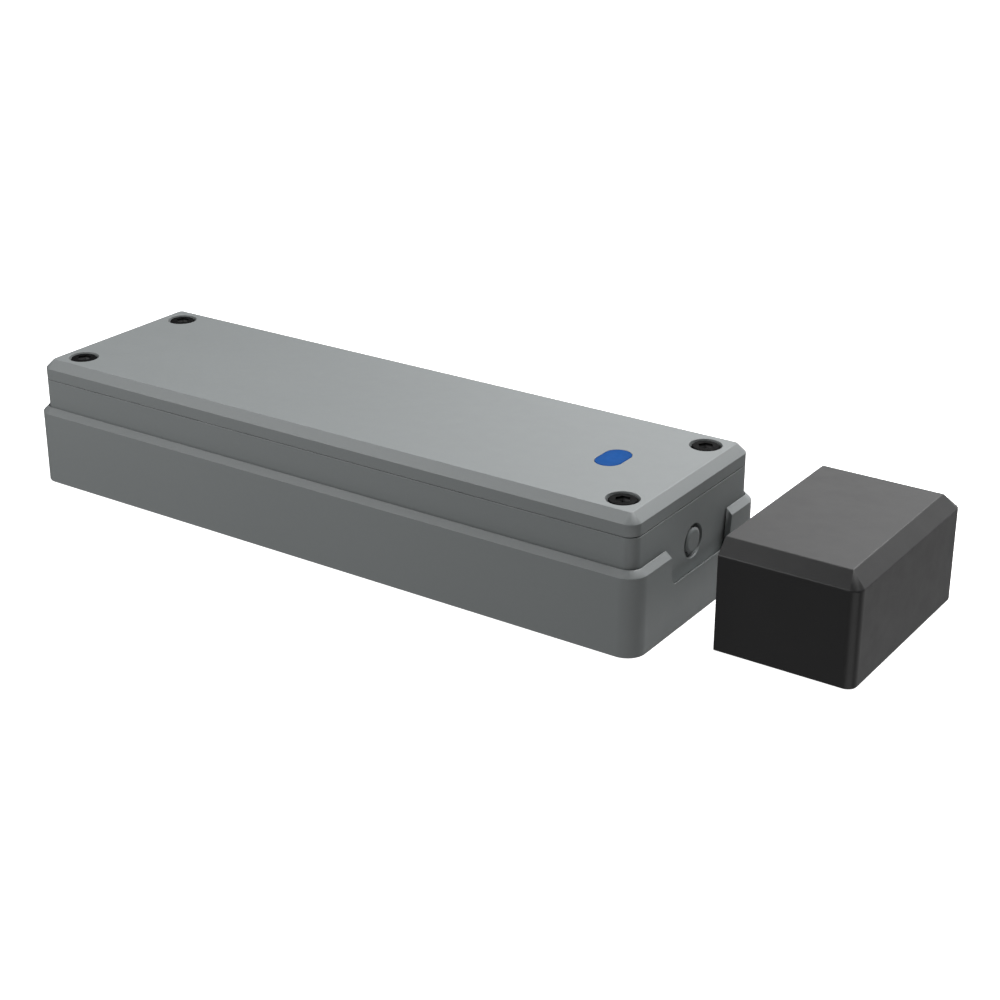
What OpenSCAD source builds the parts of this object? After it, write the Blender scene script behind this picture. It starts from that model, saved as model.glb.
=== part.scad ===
// Wireless door sensor: a sealed case that snaps into a mounting tray, and a separate magnet block.
// Lengths are in millimetres. The origin is the middle of the tray's underside,
// +X runs along the case towards the magnet block and +Z points up, away from the mounting surface.

/* [Case] */
// Length of the case, along X
case_l = 112.7; // [106:0.1:124]
// Width of the case, along Y
case_w = 33.25; // [32:0.05:40]
// Height of the lid's top face above the mounting surface
case_top = 20.95; // [20.7:0.05:26]
// Thickness of the case's side walls
case_wall = 2; // [1.8:0.05:2.4]
// Thickness of the case's floor
case_floor = 1.3; // [1:0.05:1.6]
// Radius of the case's upright corners
case_r = 1.85; // [1.5:0.05:2.4]

/* [Lid and seal] */
// Height of the lid's side, from the seam to the top face
lid_side = 3.15; // [2.8:0.05:4]
// Thickness of the lid's top plate
lid_plate = 1.8; // [1.5:0.05:2]
// Size of the 45 degree chamfer round the lid's top face
lid_chamfer = 1.35; // [0.5:0.05:1.45]
// Width of the plastic left on each side of the seal's groove
seal_lip = 0.5; // [0.4:0.05:0.6]
// Depth of the seal's groove
seal_depth = 0.9; // [0.6:0.05:1.4]
// Side clearance of the seal in its groove
seal_play = 0.05; // [0.02:0.01:0.1]

/* [Lid screws] */
// Distance of each screw's axis from the case's end and from its side
screw_inset = 4.88; // [4.75:0.01:5.4]
// Diameter of the screw's head
screw_head_d = 4.5; // [4:0.1:5]
// Height of the screw's head
screw_head_h = 1.6; // [1.2:0.1:1.8]
// Depth of the head's top below the lid's top face
screw_sink = 0.35; // [0.1:0.05:0.6]
// Diameter of the screw's thread
screw_d = 2.5; // [2:0.1:2.7]
// Length of the screw below its head
screw_l = 10; // [6:0.5:12]
// Edge of the screw's head, cut at 45 degrees
screw_edge = 0.3; // [0.1:0.05:0.4]
// Width across the corners of the socket in the screw's head
socket_d = 2.3; // [1.5:0.1:2.6]
// Depth of the socket
socket_depth = 1.1; // [0.7:0.1:1.2]
// Radial clearance round the screw's head and thread
screw_play = 0.2; // [0.1:0.05:0.3]
// Outer diameter of the threaded insert
insert_d = 3.6; // [3.3:0.1:4]
// Length of the threaded insert
insert_l = 5; // [3:0.5:6]
// Depth of the insert's waist
insert_waist = 0.25; // [0.1:0.05:0.3]
// Length of that waist
insert_waist_l = 0.5; // [0.3:0.1:1]
// Clearance of the screw in the insert, on the diameter
insert_play = 0.04; // [0.02:0.01:0.08]
// Depth of the insert's top below the seam
insert_sink = 0.3; // [0.1:0.05:0.6]
// Plastic between the insert and the seal's groove
insert_wall = 0.9; // [0.7:0.05:1.1]

/* [Status window] */
// Distance of the window's centre from the case's end
window_inset = 13.5; // [12.6:0.05:15]
// Size of the window along X
window_w = 4.1; // [3.5:0.1:5]
// Size of the window along Y
window_l = 6.6; // [5.5:0.1:9]
// Width of the flange under the lid, round the window
pipe_flange = 0.8; // [0.5:0.1:1.2]
// Thickness of that flange
pipe_flange_t = 0.8; // [0.5:0.1:1.2]
// Diameter of the stalk that leads down to the lamp
pipe_stalk_d = 3.8; // [2.6:0.1:4.2]
// Clearance of the light pipe in the lid
pipe_play = 0.05; // [0.02:0.01:0.1]

/* [Button] */
// Height of the button's axis above the mounting surface
button_z = 11.35; // [11.15:0.05:12]
// Diameter of the button
button_d = 3.8; // [3.4:0.1:4]
// Running clearance of the button in its bore
button_play = 0.05; // [0.02:0.01:0.08]
// Diameter of the sunk ring round the button
button_ring_d = 5.2; // [4.6:0.1:5.6]
// Depth of the sunk ring
button_ring_depth = 0.5; // [0.3:0.05:0.8]
// Height of the button's face above the case's end face
button_proud = 0.1; // [0.05:0.05:0.4]
// Travel of the button
button_travel = 0.5; // [0.2:0.05:0.5]
// Length of the guide sleeve inside the end wall
sleeve_l = 2; // [1.8:0.1:2.4]
// Wall of the guide sleeve
sleeve_wall = 1.05; // [0.8:0.05:1.1]
// Diameter of the button's groove, where its seal sits
button_groove_d = 2.6; // [2.2:0.1:2.8]
// Clearance of the seal in the bore
button_seal_play = 0.02; // [0.01:0.005:0.03]
// Play of the seal along its groove, on each side
groove_play = 0.1; // [0.05:0.05:0.2]
// Reach of the button's inner flange round its shaft
button_flange = 0.7; // [0.5:0.05:0.9]
// Thickness of the button's inner flange
button_flange_t = 0.9; // [0.6:0.1:1.2]
// Rounding of the button's face, cut at 45 degrees
button_edge = 0.15; // [0.05:0.05:0.3]
// Length of the switch body along X
switch_l = 3.3; // [2.8:0.1:3.6]
// Width of the switch body
switch_w = 6; // [5:0.5:6]
// Gap left between the button and the switch body when the button is pressed
switch_gap = 0.05; // [0.05:0.05:0.2]
// Diameter of the switch's stem
stem_d = 2.5; // [2:0.1:3]
// Length of the stem inside the switch body
stem_grip = 1.5; // [1:0.1:1.8]

/* [Mounting tray] */
// Thickness of the tray's wall
tray_wall = 1; // [0.8:0.05:1.3]
// Gap between the tray's wall and the case
tray_gap = 0.15; // [0.05:0.05:0.3]
// Thickness of the tray's floor
tray_floor = 2.2; // [2:0.05:2.4]
// Height of the tray's rim
tray_h = 13; // [11:0.1:15]
// Size of the 45 degree chamfer outside the rim
tray_chamfer = 0.9; // [0.3:0.05:0.95]
// Height of the notch's floor in the end wall
notch_z = 7.65; // [6:0.05:9]
// Width of the notch at its floor
notch_floor_w = 16.8; // [10:0.1:17.4]
// Width of the notch at the rim
notch_rim_w = 17.8; // [17.6:0.1:22]
// Sideways offset of the notch's middle
notch_y = 0.6; // [0:0.1:0.8]
// Radius of the notch's lower corners
notch_r = 1.2; // [0.5:0.1:2]
// Distance between the two fixing holes
fixing_pitch = 76; // [60:0.5:86]
// Diameter of the fixing holes
fixing_d = 4.2; // [3.4:0.1:4.6]
// Diameter of their countersink
fixing_head_d = 7.6; // [6.6:0.1:8]
// Length of each snap rib
snap_l = 14; // [8:0.5:20]
// Distance of each snap rib's middle from the tray's centre
snap_x = 28; // [20:0.5:34]
// Height of the snap ribs' axis
snap_z = 8.6; // [7:0.1:9.5]
// Radius of the snap ribs
snap_r = 0.5; // [0.4:0.05:0.7]
// Reach of the ribs into the case's grooves
snap_grip = 0.3; // [0.2:0.05:0.4]
// Clearance of the ribs in the case's grooves
snap_play = 0.05; // [0.02:0.01:0.1]

/* [Circuit board] */
// Thickness of the board
board_t = 1.6; // [1:0.1:1.7]
// Height of the board's underside above the case's floor
board_rise = 2.9; // [2.6:0.1:3]
// Gap between the board's edge and the case
board_gap = 0.5; // [0.3:0.05:0.8]
// Distance of the outer board screws from the battery holder's far end
post_inset = 13.25; // [9:0.25:40]
// Distance of the inner board screws from the radio module's end
post_setback = 1.2; // [0.6:0.1:3]
// Diameter of the posts under the board
post_d = 4.6; // [4:0.1:5]
// Diameter of the board screws
board_screw_d = 2; // [1.6:0.1:2.2]
// Diameter of the board screws' heads
board_screw_head_d = 3.8; // [3.2:0.1:4.2]
// Height of the board screws' heads
board_screw_head_h = 1.3; // [0.8:0.1:1.6]
// Clearance of the board screws in the board and in their pilot holes
board_screw_play = 0.1; // [0.05:0.05:0.2]
// Distance of the board screws' tips from the case's floor
board_screw_stop = 0.3; // [0.2:0.1:0.6]
// Length of the cross recess's arms, as a share of the head's diameter
cross_share = 0.6; // [0.5:0.02:0.64]
// Width of the cross recess's arms
cross_w = 0.5; // [0.4:0.05:0.6]
// Depth of the cross recess
cross_depth = 0.6; // [0.4:0.05:0.6]

/* [Battery] */
// Diameter of the cell
cell_d = 14.5; // [13.6:0.1:14.6]
// Length of the cell, with its terminal
cell_l = 50.5; // [48:0.5:51]
// Diameter of the cell's terminal
terminal_d = 5.5; // [4:0.5:7]
// Length of the cell's terminal
terminal_l = 1.2; // [0.8:0.1:1.6]
// Clearance between the cell and its holder
cell_play = 0.15; // [0.1:0.05:0.2]
// Thickness of the holder under the cell
holder_floor = 0.6; // [0.5:0.05:0.8]
// Thickness of the holder's sides at the cell's widest
holder_wall = 0.9; // [0.7:0.05:1]
// Thickness of the holder's end walls
holder_end = 1; // [0.8:0.1:1.4]
// Distance of the holder from the case's far end
holder_inset = 13.1; // [12.5:0.1:13.4]
// Thickness of the sheet metal contacts
contact_t = 0.35; // [0.25:0.05:0.5]
// Height of the holder's sides above the cell's axis
holder_grip = 2; // [1.5:0.1:3]
// Width of the lip with which the holder grips over the cell
holder_lip = 1; // [0.5:0.1:1.4]
// Rounding of the cell's ends, cut at 45 degrees
cell_edge = 0.4; // [0.2:0.1:0.8]
// Width of the contacts
contact_w = 9; // [6:0.5:10]
// Height of the contacts' plates
contact_h = 8; // [5:0.5:8]
// Height of the pressed dome that the cell's base rests on
contact_dome = 0.45; // [0.3:0.05:0.7]
// Diameter of that dome at its foot
dome_d = 5; // [4:0.5:7]
// Diameter of that dome at its top
dome_top_d = 2.4; // [1.6:0.2:3.4]
// Width of the contacts' tails
tail_w = 3; // [2:0.25:5]
// Length of the tails' feet on the board
tail_foot = 1.6; // [1:0.1:1.8]

/* [Parts on the board] */
// Length of the radio module, along X
radio_l = 18; // [15:0.5:19]
// Width of the radio module
radio_w = 15; // [12:0.5:15]
// Thickness of the radio module's carrier board
radio_t = 0.8; // [0.6:0.1:1.2]
// Gap between the battery holder and the radio module
radio_gap = 2.8; // [2.6:0.1:3.4]
// Sideways offset of the radio module
radio_y = 1.4; // [1:0.1:1.6]
// Margin of the module's board round the metal can
shield_margin = 1; // [0.6:0.1:1.6]
// Height of the metal can
shield_h = 2; // [1.4:0.1:2.6]
// Corner radius of the metal can
shield_r = 0.8; // [0.5:0.1:1.2]
// Edge of the metal can, cut at 45 degrees
shield_edge = 0.4; // [0.2:0.1:0.4]
// Diameter of the solder notches along the module
castle_d = 0.9; // [0.6:0.1:1.1]
// Spacing of the solder notches
castle_pitch = 1.8; // [1.4:0.1:2]
// Side of the controller chip
chip_size = 6; // [5:0.5:6]
// Thickness of the controller chip
chip_t = 1.1; // [0.8:0.1:1.6]
// Length of the chip's legs
leg_l = 0.7; // [0.5:0.1:0.9]
// Gap between the chip's body and the board
chip_lift = 0.1; // [0.05:0.05:0.15]
// Width of the chip's legs
leg_w = 0.24; // [0.2:0.02:0.3]
// Thickness of the chip's legs
leg_t = 0.5; // [0.3:0.05:0.6]
// Spacing of the chip's legs
leg_pitch = 0.65; // [0.6:0.01:0.7]
// Gap between the radio module and the middle of the chip
chip_gap = 4.6; // [4.4:0.1:4.8]
// Sideways offset of the chip
chip_y = 6.6; // [6:0.1:8]
// Diameter of the storage capacitor
capacitor_d = 6.2; // [5:0.2:6.4]
// Height of the storage capacitor
capacitor_h = 5.3; // [4:0.1:8]
// Thickness of the capacitor's foot
capacitor_foot = 0.7; // [0.5:0.1:1]
// Reach of the foot beyond the can
capacitor_rim = 0.2; // [0.1:0.05:0.3]
// Edge of the can's top, cut at 45 degrees
capacitor_edge = 0.4; // [0.2:0.1:0.6]
// Sideways offset of the capacitor
capacitor_y = 7.6; // [7.2:0.1:8.2]
// Length of the antenna
antenna_l = 16; // [12:0.5:17]
// Width of the antenna
antenna_w = 4.4; // [3:0.1:4.6]
// Height of the antenna above the board
antenna_h = 5.5; // [4:0.1:8]
// Thickness of the antenna's sheet
antenna_t = 0.3; // [0.2:0.05:0.5]
// Width of the antenna's legs
antenna_leg = 1.4; // [1:0.1:2]
// Distance between the antenna's feed leg and its ground leg
antenna_feed = 4; // [2:0.25:6]
// Setback of the antenna from the radio module's middle
antenna_back = 3; // [2.6:0.1:4]
// Length of the lamp
led_l = 3.5; // [2:0.1:3.6]
// Width of the lamp
led_w = 2.8; // [2:0.1:3]
// Height of the lamp
led_h = 1.9; // [0.8:0.1:2.2]
// Diameter of the lamp's lens
led_lens_d = 2.4; // [1.4:0.1:2.6]
// Depth of that lens below the lamp's top
led_lens_depth = 0.3; // [0.2:0.05:0.5]
// Gap between the lamp and the light pipe
led_gap = 0.3; // [0.2:0.05:0.6]
// Diameter of the reed switch's glass
reed_d = 1.8; // [1.4:0.1:2.2]
// Length of the straight part of the glass
reed_l = 9.4; // [7:0.1:10]
// Diameter of the reed switch's wires
wire_d = 0.5; // [0.4:0.05:0.6]
// Reach of each wire beyond the glass
wire_l = 0.9; // [0.6:0.1:1]
// Gap between the glass and the board
reed_gap = 0.5; // [0.3:0.05:0.6]

/* [Magnet block] */
// Size of the block along X
magnet_l = 21; // [18:0.1:26]
// Size of the block along Y
magnet_w = 34.5; // [31:0.1:40]
// Height of the block
magnet_h = 16.65; // [15:0.05:20]
// Gap between the tray and the block
magnet_gap = 7.15; // [4:0.05:15]
// Sideways offset of the block's middle from the tray's
magnet_y = 8.8; // [0:0.1:10]
// Size of the chamfer along the block's top edges
magnet_chamfer = 2.1; // [1:0.05:2.6]
// Radius of the block's two outer upright corners
magnet_r = 1.5; // [0.5:0.1:2]
// Thickness of the block's walls
magnet_wall = 2; // [1.6:0.1:2.4]
// Thickness of the base plate
plate_t = 2; // [1.8:0.1:2.6]
// Gap round the base plate
plate_gap = 0.1; // [0.05:0.05:0.2]
// Size of the bar magnet along X
bar_l = 10; // [6:0.5:12]
// Distance of the bar magnet's ends from the block's outer sides
bar_margin = 7.25; // [7.2:0.05:10]
// Height of the bar magnet
bar_h = 10; // [8:0.5:11]
// Gap between the bar magnet and its pocket
bar_gap = 0.15; // [0.05:0.05:0.3]
// Thickness of the ribs that hold the bar magnet
rib_t = 1.2; // [1:0.1:1.6]
// Distance of the base plate's screws from the block's outer faces
plate_screw_inset = 4.1; // [3.9:0.1:4.6]
// Diameter of the screw posts in the block
plate_post_d = 4.6; // [4.2:0.1:5]
// Diameter of the base plate's screws
plate_screw_d = 2.2; // [1.8:0.1:2.4]
// Diameter of their countersunk heads
plate_screw_head_d = 4; // [3.4:0.1:4.2]
// Depth of those heads below the plate's underside
plate_screw_sink = 0.1; // [0.05:0.05:0.2]
// Length of those screws
plate_screw_l = 8; // [6:0.5:11]
// Clearance of those screws in the base plate, on the diameter
plate_screw_play = 0.3; // [0.2:0.05:0.4]
// Clearance of those screws in their posts, on the diameter
plate_pilot_play = 0.1; // [0.05:0.05:0.15]

/* [Hidden] */
$fn = 64;

// A cut reaches this far past the face that it opens
over = 1;
// Two shapes of one solid overlap by this much
bite = 0.1;

// Levels of the case, from the mounting surface up
inside_z = tray_floor + case_floor;
seam_z = case_top - lid_side;
ceiling_z = case_top - lid_plate;
board_z = inside_z + board_rise;
board_top = board_z + board_t;

// Places of the lid's screws, and the corner blocks that hold them
screw_x = case_l / 2 - screw_inset;
window_x = case_l / 2 - window_inset;
screw_y = case_w / 2 - screw_inset;
groove_w = case_wall - 2 * seal_lip;
corner_r = insert_d / 2 + insert_wall + groove_w + seal_lip;
screw_head_z = case_top - screw_sink - screw_head_h;

// Outline of the tray
tray_l = case_l + 2 * (tray_gap + tray_wall);
tray_w = case_w + 2 * (tray_gap + tray_wall);
tray_r = case_r + tray_gap + tray_wall;

// The button, measured inwards from the case's end face
end_x = case_l / 2;
bore_l = case_wall + sleeve_l;
seal_mid = (button_travel - sleeve_l) / 2 - case_wall;
switch_x = end_x - bore_l - button_flange_t - button_travel - switch_gap;

// The battery bay
holder_x = -case_l / 2 + holder_inset;
holder_l = 2 * holder_end + 2 * contact_t + contact_dome + cell_l;
holder_w = cell_d + 2 * (cell_play + holder_wall);
cell_z = inside_z + holder_floor + cell_play + cell_d / 2;
cell_x = holder_x + holder_end + contact_t + contact_dome;
holder_side_z = cell_z + holder_grip;
holder_end_z = cell_z + contact_h / 2;
// Gap between the battery holder and the board's edge round it
bay_gap = 0.3;

// The board's screws stand in the middle of the strips beside the battery
strip_in = holder_w / 2 + bay_gap;
strip_out = case_w / 2 - case_wall - board_gap;
post_y = (strip_in + strip_out) / 2;

// Parts on the board, between the battery and the button's switch
radio_x = holder_x + holder_l + radio_gap + radio_l / 2;
chip_x = radio_x + radio_l / 2 + chip_gap;
antenna_x = radio_x - antenna_back;
post_xs = [holder_x + post_inset, radio_x + radio_l / 2 - post_setback];

// The magnet block
magnet_x = tray_l / 2 + magnet_gap;
plate_screw_x = magnet_l / 2 - plate_screw_inset;
plate_screw_y = magnet_w / 2 - plate_screw_inset;
bar_w = magnet_w - 2 * bar_margin;
bar_x = magnet_x + magnet_wall + bar_gap + bar_l / 2;
pad_z = plate_t + bar_h;
magnet_ceiling = magnet_h - magnet_wall;

// Rectangle with round corners, centred
module round_rect(l, w, r) {
    square([l - 2 * r, w], center = true);
    square([l, w - 2 * r], center = true);
    for (x = [-1, 1], y = [-1, 1])
        translate([x * (l / 2 - r), y * (w / 2 - r)]) circle(r = r);
}

// Straight bar along X with the profile of a block whose two upper edges are cut at 45 degrees
module bevel_bar(length, width, c) {
    rotate([90, 0, 90])
        linear_extrude(length, center = true)
            polygon([[-width / 2, 0], [width / 2, 0], [width / 2 - c, c], [c - width / 2, c]]);
}

// Layer of height c over a round_rect whose rim slopes in at 45 degrees
module bevel_layer(l, w, r, c) {
    bevel_bar(l - 2 * r, w, c);
    rotate([0, 0, 90]) bevel_bar(w - 2 * r, l, c);
    for (x = [-1, 1], y = [-1, 1])
        translate([x * (l / 2 - r), y * (w / 2 - r), 0]) cylinder(h = c, r1 = r, r2 = r - c);
}

// Slot outline with round ends, its length along Y
module obround(w, l) {
    square([w, l - w], center = true);
    for (y = [-1, 1]) translate([0, y * (l - w) / 2]) circle(d = w);
}

// One copy at each of four corners
module at_corners(x, y) {
    for (i = [-1, 1], j = [-1, 1]) translate([i * x, j * y, 0]) children();
}

// One copy at each of the board's four screws
module at_posts() {
    for (x = post_xs, y = [-1, 1]) translate([x, y * post_y, 0]) children();
}

// Outline of the case's inside, grown by d. It steps in round the four screw corners,
// so the seal that follows it runs inside the screws
module inside_outline(d) {
    reach = corner_r - d;
    difference() {
        square([case_l - 2 * case_wall + 2 * d, case_w - 2 * case_wall + 2 * d], center = true);
        for (x = [-1, 1], y = [-1, 1])
            mirror([x < 0 ? 1 : 0, 0])
                mirror([0, y < 0 ? 1 : 0])
                    translate([screw_x, screw_y]) {
                        circle(r = reach);
                        translate([0, -reach]) square([case_w, case_w]);
                        translate([-reach, 0]) square([case_w, case_w]);
                    }
    }
}

// Space of the seal's groove, or the seal itself when play is its side clearance
module seal_ring(play) {
    difference() {
        inside_outline(seal_lip + groove_w - play);
        inside_outline(seal_lip + play);
    }
}

// Turns a shape built along Z so that it lies along X on the button's axis, at the end face
module on_button_axis() {
    translate([end_x, 0, button_z]) rotate([0, 90, 0]) children();
}

// Outline of the notch, in the plane of the end wall, with round lower corners
module notch_outline() {
    rise = tray_h - notch_z;
    run = (notch_rim_w - notch_floor_w) / 2;
    slope = atan2(rise, run);
    tangent = notch_r / tan((180 - slope) / 2);
    foot = notch_floor_w / 2;
    side = [foot + tangent * cos(slope), notch_z + tangent * sin(slope)];
    top = [notch_rim_w / 2 + over * run / rise, tray_h + over];
    polygon([[-top[0], top[1]], [top[0], top[1]], side, [foot - tangent, notch_z],
             [tangent - foot, notch_z], [-side[0], side[1]]]);
    for (y = [-1, 1]) translate([y * (foot - tangent), notch_z + notch_r]) circle(r = notch_r);
}

// Round rib or groove along X, on both long sides of the case
module snaps(r, length, reach) {
    for (x = [-1, 1], y = [-1, 1])
        translate([x * snap_x, y * (case_w / 2 + reach), snap_z])
            rotate([0, 90, 0]) cylinder(h = length, r = r, center = true);
}

// Tray that is fixed to the door frame. The case snaps between its walls,
// and the notch in its end wall leaves room to lever the case out
module mounting_tray() {
    rib_reach = snap_r - snap_grip;
    color("dimgray")
    difference() {
        union() {
            difference() {
                union() {
                    linear_extrude(tray_h - tray_chamfer) round_rect(tray_l, tray_w, tray_r);
                    translate([0, 0, tray_h - tray_chamfer])
                        bevel_layer(tray_l, tray_w, tray_r, tray_chamfer);
                }
                translate([0, 0, tray_floor])
                    linear_extrude(tray_h)
                        round_rect(case_l + 2 * tray_gap, case_w + 2 * tray_gap, case_r + tray_gap);
            }
            intersection() {
                snaps(snap_r, snap_l, rib_reach);
                translate([0, 0, tray_floor])
                    linear_extrude(tray_h - tray_floor - tray_chamfer) square([tray_l, tray_w], center = true);
            }
        }
        translate([case_l / 2, notch_y, 0])
            rotate([90, 0, 90]) linear_extrude(2 * tray_wall + over) notch_outline();
        for (x = [-1, 1])
            translate([x * fixing_pitch / 2, 0, 0]) {
                translate([0, 0, -over]) cylinder(h = tray_floor + 2 * over, d = fixing_d);
                translate([0, 0, tray_floor - (fixing_head_d - fixing_d) / 2])
                    cylinder(h = (fixing_head_d - fixing_d) / 2, d1 = fixing_d, d2 = fixing_head_d);
            }
    }
}

// Lower shell of the case, with the screw corners, the seal's groove, the board's posts
// and the guide sleeve of the button
module housing() {
    shank_r = screw_d / 2 + screw_play / 2;
    color("slategray")
    difference() {
        union() {
            difference() {
                translate([0, 0, tray_floor])
                    linear_extrude(seam_z - tray_floor) round_rect(case_l, case_w, case_r);
                translate([0, 0, inside_z]) linear_extrude(seam_z) inside_outline(0);
            }
            at_posts()
                translate([0, 0, inside_z - case_floor / 2])
                    cylinder(h = board_rise + case_floor / 2, d = post_d);
            on_button_axis()
                translate([0, 0, -bore_l])
                    cylinder(h = sleeve_l + case_wall / 2, d = button_d + 2 * (button_play + sleeve_wall));
        }
        translate([0, 0, seam_z - seal_depth]) linear_extrude(seal_depth + over) seal_ring(0);
        at_corners(screw_x, screw_y) {
            translate([0, 0, seam_z - insert_sink - insert_l])
                cylinder(h = insert_l + insert_sink + over, d = insert_d + seal_play);
            translate([0, 0, screw_head_z - screw_l - insert_sink])
                cylinder(h = screw_l, r = shank_r);
        }
        at_posts()
            translate([0, 0, inside_z]) cylinder(h = board_rise + over, d = board_screw_d + board_screw_play);
        on_button_axis() {
            translate([0, 0, -bore_l - over])
                cylinder(h = bore_l + 2 * over, d = button_d + 2 * button_play);
            translate([0, 0, -button_ring_depth]) cylinder(h = over, d = button_ring_d);
        }
        snaps(snap_r + snap_play, snap_l + 2 * snap_play, snap_r - snap_grip);
    }
}

// Upper shell, with sunk seats for the screw heads and the slot of the status window
module lid() {
    color("lightslategray")
    difference() {
        union() {
            translate([0, 0, seam_z])
                linear_extrude(lid_side - lid_chamfer) round_rect(case_l, case_w, case_r);
            translate([0, 0, case_top - lid_chamfer]) bevel_layer(case_l, case_w, case_r, lid_chamfer);
        }
        translate([0, 0, seam_z - over]) linear_extrude(ceiling_z - seam_z + over) inside_outline(0);
        at_corners(screw_x, screw_y) {
            translate([0, 0, screw_head_z])
                cylinder(h = screw_head_h + screw_sink + over, r = screw_head_d / 2 + screw_play);
            translate([0, 0, seam_z - over]) cylinder(h = lid_side, r = screw_d / 2 + screw_play);
        }
        translate([window_x, 0, ceiling_z - over])
            linear_extrude(lid_plate + 2 * over) obround(window_w + 2 * pipe_play, window_l + 2 * pipe_play);
    }
}

// Soft seal between the two shells
module lid_seal() {
    color("black")
    translate([0, 0, seam_z - seal_depth]) linear_extrude(seal_depth) seal_ring(seal_play);
}

// Four black machine screws with a hexagon socket
module lid_screws() {
    color("black")
    at_corners(screw_x, screw_y)
        translate([0, 0, screw_head_z])
            difference() {
                union() {
                    cylinder(h = screw_head_h - screw_edge, d = screw_head_d);
                    translate([0, 0, screw_head_h - screw_edge])
                        cylinder(h = screw_edge, d1 = screw_head_d, d2 = screw_head_d - 2 * screw_edge);
                    translate([0, 0, -screw_l]) cylinder(h = screw_l + screw_edge, d = screw_d);
                }
                translate([0, 0, screw_head_h - socket_depth])
                    cylinder(h = socket_depth + over, d = socket_d, $fn = 6);
            }
}

// Four brass inserts that take the lid's screws, each with a waist that grips the plastic
module screw_inserts() {
    bore_r = (screw_d + insert_play) / 2;
    outer_r = insert_d / 2;
    waist_r = outer_r - insert_waist;
    waist_top = (insert_waist_l - insert_l) / 2;
    waist_end = waist_top - insert_waist_l;
    color("goldenrod")
    at_corners(screw_x, screw_y)
        translate([0, 0, seam_z - insert_sink])
            rotate_extrude()
                polygon([[bore_r, 0], [waist_r, 0], [outer_r, -insert_waist],
                         [outer_r, waist_top + insert_waist], [waist_r, waist_top], [waist_r, waist_end],
                         [outer_r, waist_end - insert_waist], [outer_r, -insert_l], [bore_r, -insert_l]]);
}

// Clear blue window. Its flange bears on the lid from inside, and its stalk ends over the lamp
module light_pipe() {
    stalk_z = board_top + led_h + led_gap;
    color("royalblue") {
        translate([window_x, 0, ceiling_z - bite]) linear_extrude(lid_plate + bite) obround(window_w, window_l);
        translate([window_x, 0, ceiling_z - pipe_flange_t])
            linear_extrude(pipe_flange_t)
                obround(window_w + 2 * pipe_flange, window_l + 2 * pipe_flange);
        translate([window_x, 0, stalk_z]) cylinder(h = ceiling_z - stalk_z - bite, d = pipe_stalk_d);
    }
}

// Printed circuit board, cut round the screw corners, with a window for the battery holder
module circuit_board() {
    color("darkgreen")
    difference() {
        translate([0, 0, board_z]) linear_extrude(board_t) inside_outline(-board_gap);
        translate([holder_x - bay_gap, -strip_in, board_z - over])
            cube([holder_l + 2 * bay_gap, 2 * strip_in, board_t + 2 * over]);
        at_posts()
            translate([0, 0, board_z - over])
                cylinder(h = board_t + 2 * over, r = board_screw_d / 2 + board_screw_play);
    }
}

// Recess for a cross driver, sunk below the plane z = 0
module cross_recess(head_d) {
    for (a = [0, 90])
        rotate([0, 0, a]) cube([head_d * cross_share, cross_w, 2 * cross_depth], center = true);
}

// Four small screws that hold the board on its posts
module board_screws() {
    grip = board_rise - board_screw_stop;
    color("silver")
    at_posts()
        translate([0, 0, board_top])
            difference() {
                union() {
                    cylinder(h = board_screw_head_h, d = board_screw_head_d);
                    translate([0, 0, -board_t - grip]) cylinder(h = board_t + grip + bite, d = board_screw_d);
                }
                translate([0, 0, board_screw_head_h]) cross_recess(board_screw_head_d);
            }
}

// Lamp on the board, under the light pipe
module status_led() {
    color("white")
    translate([window_x, 0, board_top])
        difference() {
            translate([-led_l / 2, -led_w / 2, 0]) cube([led_l, led_w, led_h]);
            translate([0, 0, led_h - led_lens_depth]) cylinder(h = led_h, d = led_lens_d);
        }
}

// Glass reed switch under the board, close to the end that faces the magnet block.
// Its wires turn up to the board
module reed_switch() {
    drop = reed_gap + reed_d / 2;
    tip = reed_l / 2 + reed_d / 2;
    past = wire_d / 5;
    bend = tip + wire_l - wire_d / 2;
    color("lightcyan")
    translate([switch_x - switch_l / 2, 0, board_z - drop]) {
        rotate([90, 0, 0]) cylinder(h = reed_l, d = reed_d, center = true);
        for (y = [-1, 1]) {
            translate([0, y * reed_l / 2, 0]) sphere(d = reed_d);
            translate([0, y * (bend + past), 0])
                rotate([y * 90, 0, 0]) cylinder(h = bend + past - tip + past, d = wire_d);
            translate([0, y * bend, 0]) cylinder(h = drop, d = wire_d);
        }
    }
}

module on_board(x, y) {
    translate([x, y, board_top]) children();
}

// Carrier board of the radio module, with solder notches along its sides
module radio_module() {
    notches = floor((radio_l - 2) / castle_pitch);
    color("darkslateblue")
    on_board(radio_x, radio_y)
        difference() {
            translate([-radio_l / 2, -radio_w / 2, 0]) cube([radio_l, radio_w, radio_t]);
            for (y = [-1, 1], i = [0:notches])
                translate([(i - notches / 2) * castle_pitch, y * radio_w / 2, -over])
                    cylinder(h = radio_t + 2 * over, d = castle_d);
        }
}

// Pressed metal can over the radio's parts
module radio_shield() {
    l = radio_l - 2 * shield_margin;
    w = radio_w - 2 * shield_margin;
    color("silver")
    on_board(radio_x, radio_y)
        translate([0, 0, radio_t]) {
            linear_extrude(shield_h - shield_edge) round_rect(l, w, shield_r);
            translate([0, 0, shield_h - shield_edge]) bevel_layer(l, w, shield_r, shield_edge);
        }
}

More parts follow.
